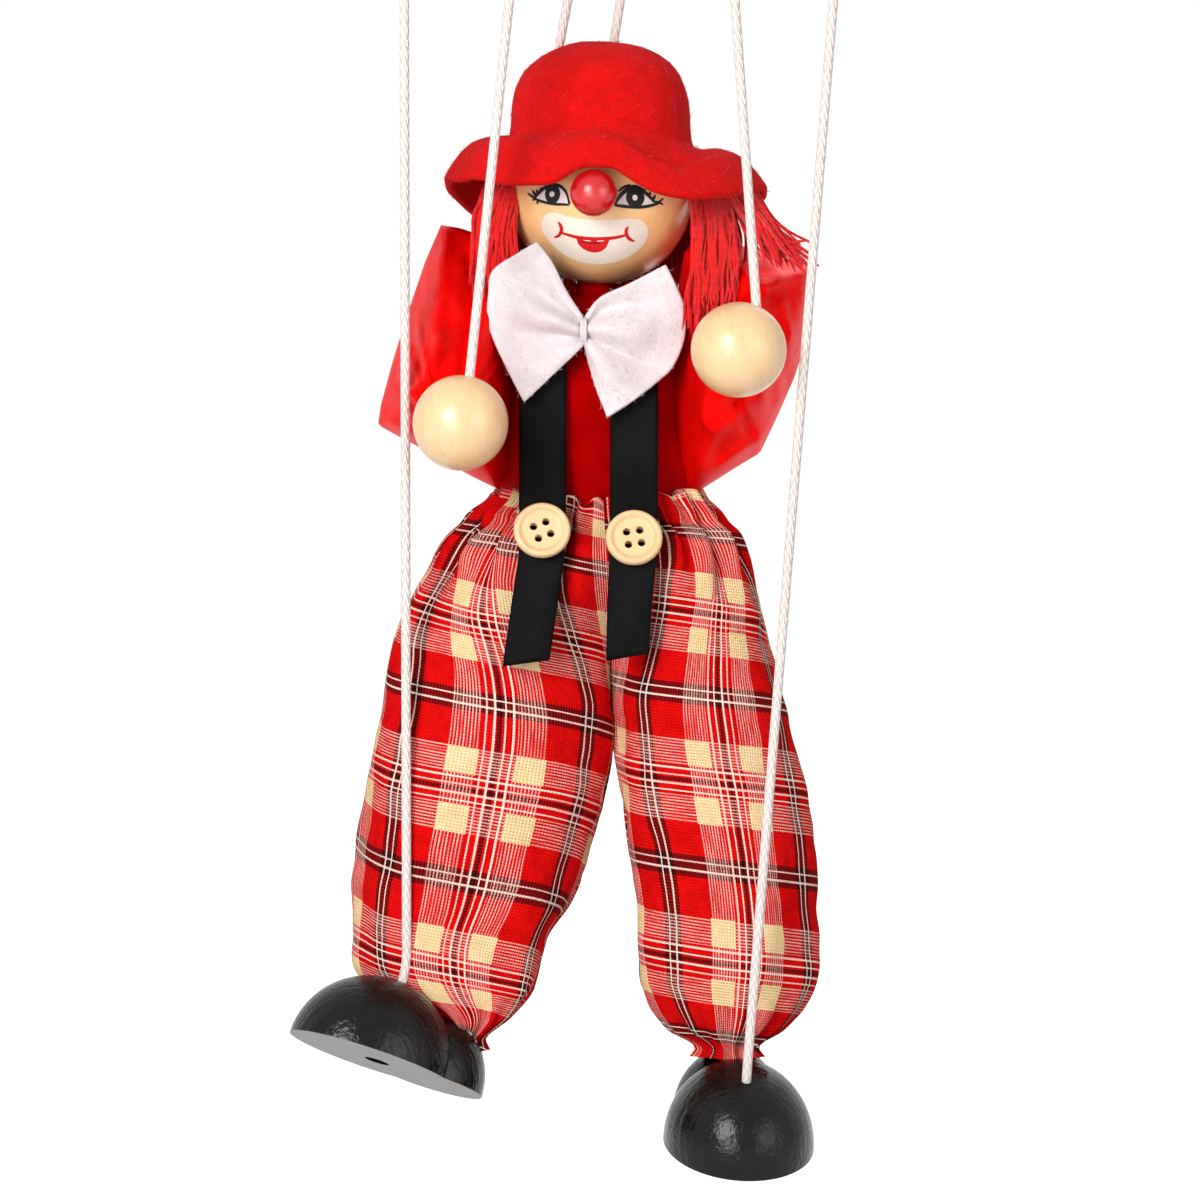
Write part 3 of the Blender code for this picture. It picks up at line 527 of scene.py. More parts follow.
def felt(name, pale, dark, depth, sheen):
    made, place, _ = material(name, Roughness=0.95, Specular_IOR_Level=0.15, Sheen_Weight=sheen, Sheen_Roughness=0.5,
                              Sheen_Tint=tuple(min(1, c * 1.25 + 0.06) for c in pale[:3]) + (1,))
    swirl = place.noise(220.0, 2.0)
    hairs = place.stretch((900, 2600, 1500), (0.4, 0.9, 0.3)).noise(1.0, 3.0, 0.7)
    crossed = place.stretch((2600, 900, 1500), (0.9, 0.2, 1.1)).noise(1.0, 3.0, 0.7)
    fibre = hairs.high(crossed)
    tone = (fibre * 0.6 + swirl * 0.4).spread(0.38, 0.68)
    feed(made, Base_Color=tone.mix(dark, pale), Normal=(fibre + swirl * 0.8).bump(depth))
    return made


HAT_FELT = felt("red_hat_felt", rgb(238, 14, 16), rgb(204, 5, 7), 0.0006, 0.3)
BOW_FELT = felt("white_bow_felt", rgb(241, 231, 233), rgb(226, 216, 219), 0.0004, 0.1)

WOOL, place, uv = material("red_wool", Roughness=0.8, Sheen_Weight=0.4, Specular_IOR_Level=0.2)
around, along = uv.parts()[:2]
twist = ((around * FULL_TURN + along * 2400.0).sin() * 0.5 + 0.5)
# Darker where the twist dips: painted shade, mixed with random tone.
feed(WOOL, Base_Color=(twist * 0.35 + place.noise(420.0) * 0.65).mix(rgb(206, 4, 7), rgb(244, 18, 20)),
     Normal=twist.bump(0.00006))
tell_materials(HAT_FELT, BOW_FELT, WOOL)

# %% [markdown]
# ### Satin and ribbon
#
# Satin has long floating threads, which give broad soft highlights in the cloth's own colour. A sheen would whiten the
# edges, so the red satins take a little Metallic and a red specular tint. The shirt's body lies in the shade of head
# and sleeves, so it is given a darker, duller copy of the satin: painted shade on the same cloth as the sleeves. The
# suspenders' ribbon is black.

# %% Satin and ribbon


def satin(name, pale, dark, shine, pitch, specular, gleam, relief, tint=(1, 1, 1, 1)):
    made, place, uv = material(name, Specular_IOR_Level=specular, Specular_Tint=tint, Metallic=gleam, Anisotropic=0.35)
    u, v = uv.parts()[:2]
    weave = (u * (FULL_TURN / pitch)).sin() * (v * (FULL_TURN / pitch)).sin() * 0.5 + 0.5
    tone = place.noise(90.0, 3.0).spread(0.3, 0.7)
    feed(made, Base_Color=tone.mix(pale, dark), Roughness=(tone * 0.5 + weave * 0.5).spread(0, 1, shine, shine + 0.12),
         Normal=(weave * 0.2 + place.noise(240.0, 2.0) + place.noise(75.0, 2.0) * 3.0).bump(relief))
    return made


RED_GLEAM = (1, 0.1, 0.08, 1)
SATIN = satin("red_satin", rgb(255, 14, 12), rgb(232, 6, 6), shine=0.26, pitch=0.0005, specular=0.14, gleam=0.32,
              relief=0.0003, tint=RED_GLEAM)
# The shirt's satin is darker and duller than the sleeves': painted shade.
SHADED_SHIRT_SATIN = satin("shirt_satin", rgb(176, 2, 3), rgb(150, 0, 1), shine=0.36, pitch=0.0005, specular=0.06, gleam=0.04,
                    relief=0.0004, tint=RED_GLEAM)
RIBBON = satin("black_ribbon", rgb(12, 11, 11), rgb(6, 6, 6), shine=0.24, pitch=0.0006, specular=0.05, gleam=0.0,
               relief=0.0004)
tell_materials(SATIN, SHADED_SHIRT_SATIN, RIBBON)

# %% [markdown]
# ### Cord and screw
#
# The strings are braided white cord. Modelled yarns would need many faces over such a length, so the braid is drawn:
# a wave along the cord whose phase zigzags round it, which makes rows of small chevrons in the bump. The same wave,
# with some noise, darkens the colour where the braid dips: painted shade between the yarns. The control's screw is
# steel.

# %% Cord and screw
CORD_WHITE, place, uv = material("braided_cord", Roughness=0.75, Sheen_Weight=0.25, Specular_IOR_Level=0.25)
around, along = uv.parts()[:2]
slant = ((around * 4.0).math("FRACT") - 0.5).math("ABSOLUTE")
braid = (along * 1900.0 + slant * (2 * FULL_TURN)).sin() * 0.5 + 0.5
# Where the braid dips, the colour is darker: painted shade, with some random tone.
feed(CORD_WHITE, Base_Color=(braid * 0.75 + place.noise(700.0) * 0.25).spread(0.1, 0.7)
     .mix(rgb(214, 200, 192), rgb(246, 237, 231)), Normal=braid.bump(0.0002))

STEEL, place, uv = material("screw_steel", Metallic=1.0)
feed(STEEL, Base_Color=place.noise(800.0).mix(rgb(170, 170, 172), rgb(140, 140, 143)),
     Roughness=place.noise(900.0).spread(0.3, 0.7, 0.25, 0.4))
tell_materials(CORD_WHITE, STEEL)

# %% [markdown]
# ### Plaid cotton
#
# On the loom, the same stripes run both ways and repeat every 46 mm. A picture of the cloth would be flat and fixed in
# size, so the threads are worked out from the UV map. A row of ramp stops holds one repeat: its red channel marks white
# threads, green marks black threads, and blue marks the cream bands. A cream band shows as white pinstripes where it
# crosses red, and as solid cream only where two bands cross.

# %% Plaid
REPEAT = 0.046
THREAD = 0.0008
RED_YARN, WHITE_YARN, BLACK_YARN, BAND = (0, 0, 0), (1, 0, 0), (0, 1, 0), (0, 0, 1)
SETT = [(0, RED_YARN), (2.5, BLACK_YARN), (7.5, WHITE_YARN), (9.3, BLACK_YARN), (16, WHITE_YARN), (17.8, BLACK_YARN),
        (23, RED_YARN), (59, BAND), (85, RED_YARN), (88, WHITE_YARN), (89.8, RED_YARN), (95, WHITE_YARN),
        (96.8, RED_YARN), (98.5, BLACK_YARN), (102.5, RED_YARN), (104, WHITE_YARN), (105.8, RED_YARN),
        (111, WHITE_YARN), (112.8, RED_YARN), (116, BAND), (142, RED_YARN)]
SETT_LENGTH = 171

PLAID, place, uv = material("plaid_cotton", Roughness=0.9, Specular_IOR_Level=0.04)


def stripes(run):
    """White, black and cream marks of one set of threads, at a distance across them."""
    ramp = run.make("ShaderNodeValToRGB", {0: (run / REPEAT).math("FRACT")})
    bar = ramp.socket.node.color_ramp
    bar.interpolation = "CONSTANT"
    for k, (start, colour) in enumerate(SETT):
        stop = bar.elements[k] if k < 2 else bar.elements.new(start / SETT_LENGTH)
        stop.position = start / SETT_LENGTH
        stop.color = (*colour, 1)
    white, black, band = ramp.parts()
    pins = ((run * (FULL_TURN / THREAD)).sin() > 0.3) * band
    return white, pins, black, band


across, down = uv.parts()[:2]
white_u, pins_u, black_u, band_u = stripes(across)
white_v, pins_v, black_v, band_v = stripes(down)
thread_u = (across * (FULL_TURN / THREAD)).sin() * 0.5 + 0.5
thread_v = (down * (FULL_TURN / THREAD)).sin() * 0.5 + 0.5
slub = place.noise(260.0, 3.0).spread(0.3, 0.7)
cloth = slub.mix(rgb(232, 14, 14), rgb(206, 7, 8))
worn_u = uv.stretch((2600, 110, 1)).noise(1.0, 1.0).spread(0.32, 0.56, 0.25, 1.0)
worn_v = uv.stretch((110, 2600, 1)).noise(1.0, 1.0).spread(0.32, 0.56, 0.25, 1.0)
cream = rgb(255, 236, 218)
cloth = (black_v * (thread_u * 0.35 + 0.58)).mix(cloth, rgb(22, 14, 13))
cloth = (black_u * (thread_v * 0.35 + 0.58)).mix(cloth, rgb(20, 14, 13))
cloth = (pins_v * worn_v * (thread_u * 0.4 + 0.48)).mix(cloth, cream)
cloth = (pins_u * worn_u * (thread_v * 0.4 + 0.48)).mix(cloth, cream)
cloth = (white_v * (thread_u * 0.25 + 0.68)).mix(cloth, cream)
cloth = (white_u * (thread_v * 0.25 + 0.68)).mix(cloth, cream)
cloth = (band_u * band_v).mix(cloth, slub.mix(rgb(250, 220, 168), rgb(240, 206, 150)))
feed(PLAID, Base_Color=cloth, Normal=(thread_u * thread_v + place.noise(700.0) * 0.4).bump(0.0003))
tell_materials(PLAID)
print("stripes in a repeat:", len(SETT))

# %% [markdown]
# ## Strings
#
# Six braided cords come down from the control, where their knots lie in recesses, and end in the hat, the hands and the
# shoes. A curve with a round bevel could make them, but a cord that bends with the doll has to be cut where it crosses
# a joint. So each cord is cut into pieces that cross one joint each. SPLITS has the cuts, as shares of the cord, and
# BENDS two shares of each piece, low down for hands and feet, for the points where it passes from one body to the next;
# those points are worked out, but nothing here bends the pieces. Routes repeat those of the solids.

# %% String routes
ROUTES = {
    ("head", "left"): [(0.0064, -0.022, -0.0028), (0.0064, -0.022, -0.0119), (-0.0032, -0.0130, -0.0703),
                       (-0.0062, -0.0102, -0.0880)],
    ("head", "right"): [(-0.0064, -0.022, -0.0028), (-0.0064, -0.022, -0.0119), (-0.0181, -0.0130, -0.0718),
                        (-0.0226, -0.0095, -0.0940)],
    ("hand", "left"): [(0.0260, -0.060, -0.0131), (0.0260, -0.060, -0.0222), (0.0343, -0.0630, -0.1421),
                       (0.0347, -0.0632, -0.1475)],
    ("hand", "right"): [(-0.0260, -0.060, -0.0131), (-0.0260, -0.060, -0.0222), (-0.0405, -0.0630, -0.1605),
                        (-0.0411, -0.0631, -0.1660)],
    ("foot", "left"): [(0.0578, -0.060, -0.0131), (0.0578, -0.060, -0.0222), (0.03246, -0.05503, -0.33805),
                       (0.03225, -0.05464, -0.34102), (0.03208, -0.05394, -0.34393), (0.03117, -0.04742, -0.3620)],
    ("foot", "right"): [(-0.0578, -0.060, -0.0131), (-0.0578, -0.060, -0.0222), (-0.05797, -0.03671, -0.3139),
                        (-0.05827, -0.03679, -0.31688), (-0.05888, -0.03719, -0.31979), (-0.06472, -0.04182, -0.3383)],
}
CHAINS = {"head": ["control", "torso", "head"], "hand": ["control", "torso", "upper_arm", "forearm"],
          "foot": ["control", "torso", "thigh", "shin"]}
SPLITS = {"head": [0.48], "hand": [0.34, 0.77], "foot": [0.30, 0.70]}
BENDS = {"head": [(0.08, 0.92), (0.08, 0.92)], "hand": [(0.08, 0.92), (0.65, 0.96), (0.05, 0.95)],
         "foot": [(0.08, 0.92), (0.55, 0.97), (0.08, 0.92)]}
print("strings:", len(ROUTES), "pieces:", sum(len(CHAINS[kind]) - 1 for kind, side in ROUTES))

# %% [markdown]
# A braid isn't quite round: its surface rises and falls a little where the yarns cross. At its end the cord is tied in
# an overhand knot, which is a closed trefoil curve when it is drawn tight.

# %% String shapes
CORD_STEP = 0.0009
BRAID_RATE, BRAID_DEPTH = 1500, 0.02
KNOT_SIZE, SOLE_KNOT_SIZE, KNOT_CORD_RADIUS = 0.0016, 0.0015, 0.0009


def even(points, every):
    """Points at even steps along a polyline."""
    spots = []
    for a, b in zip(points, points[1:]):
        count = max(1, round((b - a).length / every))
        spots += [a.lerp(b, i / count) for i in range(count)]
    return spots + [points[-1]]


def cord_mesh(name, path, sides=14):
    """A tube whose surface rises and falls with the braid."""
    rows = []
    run = 0.0
    frames = path_frames(path)
    for k, point in enumerate(path):
        run += (path[k] - path[k - 1]).length if k else 0.0
        row = []
        for i in range(sides):
            turn = 2 * math.pi * i / sides
            wave = math.sin(4 * turn + run * BRAID_RATE) * math.sin(4 * turn - run * BRAID_RATE)
            reach = CORD / 2 * (1.0 + BRAID_DEPTH * wave)
            row.append(point + (frames[k][0] * math.cos(turn) + frames[k][1] * math.sin(turn)) * reach)
        rows.append(row)
    cord = grid(name, rows, CORD_WHITE, cap=True)
    sharp(cord, 60)
    return cord


def knot_path(centre, size, every=48):
    """A trefoil, drawn tight: the overhand knot at a cord's end."""
    spots = []
    for i in range(every + 1):
        t = 2 * math.pi * i / every
        spots.append(centre + Vector((math.sin(t) + 2 * math.sin(2 * t), math.cos(t) - 2 * math.cos(2 * t),
                                      -1.4 * math.sin(3 * t))) * size / 3)
    return spots


def knot_mesh(name, centre, size):
    return grid(name, tube_rows(knot_path(centre, size), KNOT_CORD_RADIUS, 10), CORD_WHITE)


print("a knot is", 1000 * KNOT_SIZE, "mm in scale, and its path has", len(knot_path(Vector(), KNOT_SIZE)), "points")

# %% [markdown] Now each string is made, piece by piece.

# %% Strings
for (kind, side), points in ROUTES.items():
    points = [Vector(p) for p in points]
    chain = [b if b in ("control", "torso", "head") else b + "_" + side for b in CHAINS[kind]]
    path = even(points, CORD_STEP)
    marks = [0.0] + SPLITS[kind] + [1.0]
    for k in range(len(chain) - 1):
        first = round(marks[k] * (len(path) - 1))
        last = round(marks[k + 1] * (len(path) - 1))
        spots = path[first:last + 1]
        name = "cord_%s_%s_%d" % (kind, side, k + 1)
        cord = cord_mesh(name, spots)
        length = sum((b - a).length for a, b in zip(spots, spots[1:]))
        begin, stop = (spots[0].lerp(spots[-1], share) for share in BENDS[kind][k])
        chain[k + 1]
        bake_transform(cord)
        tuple(begin)
        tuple(stop)
        if k == 0:
            knot = knot_mesh("knot_%s_%s" % (kind, side), points[0], KNOT_SIZE)
            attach(knot, "control")
            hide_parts("%s_string_%s" % (kind, side))
        if kind == "foot" and k == len(chain) - 2:
            below = knot_mesh("sole_knot_" + side, points[-1], SOLE_KNOT_SIZE)
            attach(below, chain[-1])
        tuple(spots[0])
        [tuple(p) for p in spots[::6] + [spots[-1]]]
        print("%s: %.1f mm, from %s to %s" % (name, 1000 * length, chain[k], chain[k + 1]))

# %% [markdown]
# ## Head and nose
#
# The head is a turned ball of 50 mm, with a smaller ball on a peg for its nose. A lathe profile could be spun, but a
# sphere is all that it takes. The wood is coloured by place and not by the sphere's UV map, so its poles don't show.

# %% Head
NOSE_RADIUS = 0.00622
head = ball("head_ball_turned", HEAD, HEAD_RADIUS, HONEY, 72, 44, Matrix.Rotation(0.5, 4, "X"))
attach(head, "head")
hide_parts("head_ball")

NOSE = at(593.5, 193, HEAD.y - 0.0306)
nose = ball("nose_ball_painted", NOSE, NOSE_RADIUS, NOSE_RED, 48, 30)
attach(nose, "head")
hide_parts("nose_ball")
tell(head, nose)

# %% [markdown]
# ## Painted face
#
# The face is brushed on. A picture on the ball would be the usual way, but it blurs close up and no picture is used
# here. So each brush mark is a thin patch or stroke of its own, drawn in the photograph's pixels, laid on the ball and
# lifted off it by a few hundredths of a millimetre, each layer a little further out than the one below.

# %% Face drawing
FACE_ZOOM = 7.84
FACE_CORNER = (500, 150)
FACE_DEPTH = 0.021


def on_head(px, py, lift):
    """A pixel's point on the ball's front, lifted off it."""
    spot = at(px, py, HEAD.y - FACE_DEPTH)
    x, z = spot.x - HEAD.x, spot.z - HEAD.z
    reach = HEAD_RADIUS + lift
    return HEAD + Vector((x, -math.sqrt(max(1e-8, reach * reach - x * x - z * z)), z))


def face_px(x, y):
    """From the face's own drawing, which is larger, to the photograph's pixels."""
    return FACE_CORNER[0] + x / FACE_ZOOM, FACE_CORNER[1] + y / FACE_ZOOM


def round_off(outline, per=6):
    """A closed outline with points added on a smooth curve through its corners."""
    points = []
    count = len(outline)
    for k in range(count):
        p0, p1, p2, p3 = (Vector(outline[(k + i) % count]) for i in (-1, 0, 1, 2))
        for i in range(per):
            t = i / per
            points.append(0.5 * (2 * p1 + (p2 - p0) * t + (2 * p0 - 5 * p1 + 4 * p2 - p3) * t * t
                                 + (3 * p1 - p0 - 3 * p2 + p3) * t ** 3))
    return points


print("the middle of the face is", round(1000 * (HEAD.y - on_head(*face_px(700, 500), 0).y), 1), "mm before the head's")

# %% [markdown]
# Three brushes are enough: a filled patch, a stroke whose width changes along it, and a disc.

# %% Brush marks
face_pieces = []


def patch(name, outline, material, lift, rounds=True, rings=7):
    """A painted patch: rings from its outline to its middle."""
    points = round_off(outline) if rounds else [Vector(p) for p in outline]
    middle = sum(points, Vector((0, 0))) / len(points)
    rows = []
    for k in range(rings + 1):
        share = max(1.0 - k / rings, 0.02)
        rows.append([on_head(*face_px(*(middle + (p - middle) * share)), lift) for p in points])
    face_pieces.append(grid(name, rows, material))


def stroke(name, points, widths, material, lift, per=8):
    """A brush stroke along points, with a width at each, and round ends."""
    table = [(k, *p, w) for k, (p, w) in enumerate(zip(points, widths))]
    spots = [smooth(table, (len(points) - 1) * i / (per * (len(points) - 1)))
             for i in range(per * (len(points) - 1) + 1)]
    rows = []
    for k, (x, y, w) in enumerate(spots):
        ax, ay = spots[max(0, k - 1)][:2]
        bx, by = spots[min(len(spots) - 1, k + 1)][:2]
        along = Vector((bx - ax, by - ay)).normalized()
        side = Vector((-along.y, along.x)) * w / 2
        rows.append([on_head(*face_px(x + side.x * s, y + side.y * s), lift) for s in (-1, -0.5, 0, 0.5, 1)])
    face_pieces.append(grid(name, rows, material, closed=False))


def disc(name, x, y, wide, tall, material, lift):
    patch(name, [(x + wide * math.cos(2 * math.pi * i / 16), y + tall * math.sin(2 * math.pi * i / 16))
                 for i in range(16)], material, lift, rings=4)


print("brushes: patch, stroke, disc")

# %% [markdown]
# The mouth: a white patch from cheek to cheek, a red smile with a curl at each end, and the tongue below it.

# %% Mouth
patch("mouth_patch", [(325, 590), (330, 540), (362, 500), (410, 488), (470, 500), (540, 525), (620, 541), (720, 550),
                      (820, 552), (920, 549), (1000, 542), (1060, 541), (1110, 555), (1145, 585), (1160, 630),
                      (1152, 685), (1118, 742), (1060, 792), (980, 840), (880, 870), (780, 882), (680, 875),
                      (590, 850), (500, 805), (430, 750), (375, 690), (340, 640)], FACE_WHITE, 0.00006)
patch("tongue", [(598, 690), (612, 732), (650, 770), (700, 792), (745, 799), (795, 790), (835, 760), (858, 706),
                 (740, 700)], TONGUE, 0.00010, rounds=False)
stroke("tongue_line", [(625, 712), (680, 722), (740, 730), (790, 726)], [8, 14, 14, 6], TONGUE_DARK, 0.00013)
stroke("smile", [(474, 642), (560, 671), (640, 688), (740, 696), (850, 693), (930, 681), (994, 664)],
       [16, 22, 26, 26, 26, 22, 16], FACE_RED, 0.00014)
stroke("smile_corner_right", [(456, 563), (474, 590), (481, 625), (468, 656), (448, 671), (424, 675)],
       [12, 24, 28, 24, 20, 12], FACE_RED, 0.00016)
stroke("smile_corner_left", [(1003, 603), (989, 635), (995, 667), (1016, 694), (1054, 711)],
       [14, 24, 26, 24, 12], FACE_RED, 0.00016)
tell(*face_pieces)

# %% [markdown]
# The eyes: a white almond, a large black iris that runs into the upper lid, a light dot, and lashes at the outer end.
# The two were painted by hand and differ, so each has its own drawing.

# %% Eyes
LID_GAIN = 1.4
LASH_WIDTHS = [22, 18, 10]
EYES = {
    "right": {"white": [(288, 368), (345, 302), (410, 284), (480, 300), (520, 350), (542, 428), (450, 424), (360, 406)],
              "iris": (412, 345, 60, 76), "dot": (407, 347, 20, 22),
              "lower": ([(262, 372), (300, 388), (360, 410), (440, 426), (542, 434)], [10, 14, 15, 16, 12]),
              "upper": ([(268, 372), (300, 335), (345, 298), (410, 280), (475, 290), (520, 345), (545, 428)],
                        [12, 18, 22, 24, 18, 12, 12]),
              "crease": ([(462, 284), (505, 312), (530, 356)], [9, 10, 6]),
              "lashes": [[(275, 368), (245, 352), (214, 326)], [(284, 350), (264, 328), (252, 304)],
                         [(300, 338), (290, 322), (288, 302)], [(280, 374), (264, 380), (250, 384)],
                         [(298, 388), (292, 402), (290, 416)], [(325, 318), (318, 304), (322, 288)]]},
    "left": {"white": [(902, 440), (945, 375), (985, 330), (1050, 302), (1110, 318), (1165, 362), (1205, 412),
                       (1120, 436), (1010, 446)],
             "iris": (1060, 378, 73, 76), "dot": (1057, 379, 20, 22),
             "lower": ([(898, 440), (960, 447), (1040, 452), (1120, 448), (1200, 430), (1262, 408)],
                       [14, 18, 18, 18, 16, 8]),
             "upper": ([(902, 438), (930, 385), (975, 335), (1040, 300), (1090, 306), (1145, 342), (1215, 410)],
                       [12, 18, 24, 28, 24, 20, 14]),
             "crease": ([(925, 334), (970, 300), (1022, 278)], [8, 14, 10]),
             "lashes": [[(1215, 408), (1250, 402), (1282, 372)], [(1225, 410), (1256, 410), (1280, 424)],
                        [(1198, 385), (1212, 368), (1216, 348)], [(1165, 358), (1176, 344), (1176, 326)],
                        [(1122, 328), (1132, 320), (1134, 306)]]},
}
for side, eye in EYES.items():
    patch("eye_white_" + side, eye["white"], EYE_WHITE, 0.00006)
    x, y, wide, tall = eye["iris"]
    disc("iris_" + side, x, y, wide, tall, FACE_BLACK, 0.00010)
    x, y, wide, tall = eye["dot"]
    disc("eye_dot_" + side, x, y, wide, tall, EYE_WHITE, 0.00014)
    for part in ("lower", "upper", "crease"):
        spots, widths = eye[part]
        stroke("lid_%s_%s" % (part, side), spots, [w * LID_GAIN for w in widths], FACE_BLACK, 0.00018)
    for k, lash in enumerate(eye["lashes"]):
        stroke("lash_%s_%d" % (side, k), lash, LASH_WIDTHS, FACE_BLACK, 0.00020)
for obj in face_pieces:
    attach(obj, "head")
print("brush marks on the face:", len(face_pieces))

# %% [markdown]
# ## Felt hat
#
# A felt hat is steamed over a block, and its brim waves as it dries. It could be sculpted, but tables follow the
# photograph's edge more closely. Rows of points run from the crown's top down the wall and out along the brim. BRIM has
# the brim's edge all round, by degrees from the doll's left: its radius, its height, how late the brim bends down, and
# a dip. The brim lifts over the nose, hangs on both sides of it, stands out at the doll's sides and hangs behind.

# %% Hat shape
BRIM = [(-18, 0.0452, -0.0007, 2.6, 0.0016), (-6, 0.0453, 0.0005, 2.6, 0.0), (0, 0.0454, 0.0002, 2.6, 0.0),
        (15, 0.0452, -0.0025, 2.4, 0.0), (30, 0.0440, -0.0040, 2.5, 0.0), (60, 0.0428, -0.0050, 1.8, 0.0),
        (90, 0.0425, -0.0042, 1.8, 0.0), (120, 0.0425, -0.0050, 1.8, 0.0), (145, 0.0425, -0.0046, 2.0, 0.0),
        (165, 0.0426, -0.0004, 2.5, 0.0), (180, 0.0428, 0.0019, 2.8, 0.0), (196, 0.0428, 0.0028, 2.7, 0.0),
        (210, 0.0418, 0.0022, 2.3, 0.0), (225, 0.0402, 0.0004, 1.9, 0.0), (240, 0.0385, -0.0006, 1.7, 0.0),
        (250, 0.0372, -0.0001, 1.8, 0.0), (258, 0.0360, 0.0030, 2.0, 0.0), (264, 0.0352, 0.0043, 2.2, 0.0),
        (270, 0.0348, 0.0046, 2.2, 0.0), (276, 0.0350, 0.0045, 2.0, 0.0005), (281, 0.0358, 0.0020, 1.8, 0.0010),
        (287, 0.0375, -0.0006, 1.5, 0.0020), (296, 0.0400, -0.0028, 1.3, 0.0040), (306, 0.0422, -0.0040, 1.2, 0.0056),
        (318, 0.0438, -0.0034, 1.8, 0.0050), (330, 0.0447, -0.0017, 2.3, 0.0034), (342, 0.0452, -0.0007, 2.6, 0.0016),
        (354, 0.0453, 0.0005, 2.6, 0.0), (360, 0.0454, 0.0002, 2.6, 0.0), (375, 0.0452, -0.0025, 2.4, 0.0)]
CROWN = [(0.0, 0.0, 0.0404), (0.10, 0.0046, 0.0402), (0.22, 0.0100, 0.0392), (0.36, 0.0158, 0.0368),
         (0.50, 0.0203, 0.0330), (0.64, 0.0229, 0.0280), (0.78, 0.0240, 0.0228), (0.90, 0.0243, 0.0176),
         (1.0, 0.0249, 0.0146)]
HAT_COLUMNS, CROWN_ROWS, BRIM_ROWS = 128, 25, 22
CROWN_RADIUS, CROWN_BASE = CROWN[-1][1:]
BRIM_RADIUS = 0.0255
ASKEW = 0.0025
HAT_FELT_THICK = 0.0028


def bell(value, middle, wide):
    """A soft hump: 1 at the middle, and near 0 further off than twice its width."""
    return math.exp(-((value - middle) / wide) ** 2)


def hang(turn):
    """How much lower the brim leaves the crown on the doll's left, where the hat sits askew."""
    return ASKEW * max(0.0, math.cos(turn)) ** 1.5


print("the brim is %.1f mm wide" % (1000 * 2 * max(row[1] for row in BRIM)))

# %% [markdown]
# First come the crown's rows and then the brim's, each with a little noise, because felt is never quite even. Then a
# Solidify modifier gives the felt its thickness, and a Subdivision rounds its edge.

# %% Hat
rows = []
for k in range(CROWN_ROWS + 1):
    radius, height = smooth(CROWN, max(k / CROWN_ROWS, 0.004))
    row = []
    for i in range(HAT_COLUMNS):
        turn = 2 * math.pi * i / HAT_COLUMNS
        spot = Vector((radius * math.cos(turn), radius * math.sin(turn), height))
        swell = 1 + 0.018 * rough(spot, 0.016, 2.0) * min(1, radius / 0.01)
        height_here = height + 0.0005 * rough(spot, 0.012, 5.0) - hang(turn) * (k / CROWN_ROWS) ** 4
        row.append(HEAD + Vector((spot.x * swell, spot.y * swell, height_here)))
    rows.append(row)
for k in range(1, BRIM_ROWS + 1):
    part = k / BRIM_ROWS
    row = []
    for i in range(HAT_COLUMNS):
        degrees = 360 * i / HAT_COLUMNS
        turn = math.radians(degrees)
        edge, drop, bend, dip = smooth(BRIM, degrees)
        radius = CROWN_RADIUS + 0.0006 * min(1, part * 5) + (edge - BRIM_RADIUS) * part
        base = CROWN_BASE - hang(turn)
        front = 0.2 + 0.8 * max(0.0, -math.sin(turn))
        roll = base + (drop - base) * part ** bend - dip * bell(part, 0.36, 0.2)
        roll += 0.0014 * front * bell(part, 0.62, 0.22)
        roll -= 0.0010 * bell(part, 0.12, 0.1)
        roll += 0.0012 * rough((radius * math.cos(turn), radius * math.sin(turn), 0), 0.011, 8.0) * part
        row.append(HEAD + Vector((radius * math.cos(turn), radius * math.sin(turn), roll)))
    rows.append(row)
hat = grid("felt_hat_soft", rows, HAT_FELT)
face_out(hat, HEAD)
modify(hat, "SOLIDIFY", thickness=HAT_FELT_THICK, offset=-1.0)
modify(hat, "SUBSURF", levels=1)
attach(hat, "head")
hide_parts("felt_hat")
tell(hat)

# %% [markdown]
# ## Wool hair
#
# Yarn is glued under the hat in bundles, and its loose ends lie on the shoulders. Particle hair would be quick, but it
# makes no mesh, so each strand is a thin tube. It runs from a root at the head's side, past a middle, to a tip, each on
# a line that LOCKS gives in pixels and at a depth, and a seeded random generator spreads the strands. The photograph
# shows the wool from the front only, so its sides and back are guessed.

# %% Hair shape
STRAND_STEP = 0.0022
HAIR_GAP = 0.0006
LOOSE_DEPTH = 0.0040
LOCKS = {
    "right": {"count": 190, "root": [(486, 184), (520, 188)], "via": [(474, 228), (513, 240)],
              "tip": [(474, 284), (520, 300)], "depth": (-0.0260, -0.0290, -0.0300)},
    "left": {"count": 230, "root": [(688, 186), (728, 190)], "via": [(694, 240), (738, 244)],
             "tip": [(692, 318), (734, 302)], "depth": (-0.0270, -0.0360, -0.0450)},
    "left_fan": {"count": 70, "root": [(718, 184), (752, 188)], "via": [(742, 220), (784, 236)],
                 "tip": [(752, 256), (814, 262)], "depth": (-0.0280, -0.0330, -0.0345)},
    "left_side": {"count": 120, "root": [(691, 186), (698, 186)], "via": [(696, 236), (703, 238)],
                  "tip": [(697, 284), (706, 290)], "depth": (-0.0080, -0.0080, -0.0080), "spread": 0.0125},
    "right_side": {"count": 120, "root": [(504, 186), (511, 186)], "via": [(499, 236), (506, 238)],
                   "tip": [(496, 284), (505, 290)], "depth": (-0.0080, -0.0080, -0.0080), "spread": 0.0125},
    "back": {"count": 320, "root": [(520, 186), (686, 186)], "via": [(502, 236), (706, 236)],
             "tip": [(506, 302), (702, 302)], "depth": (0.0075, 0.0110, 0.0075)},
}


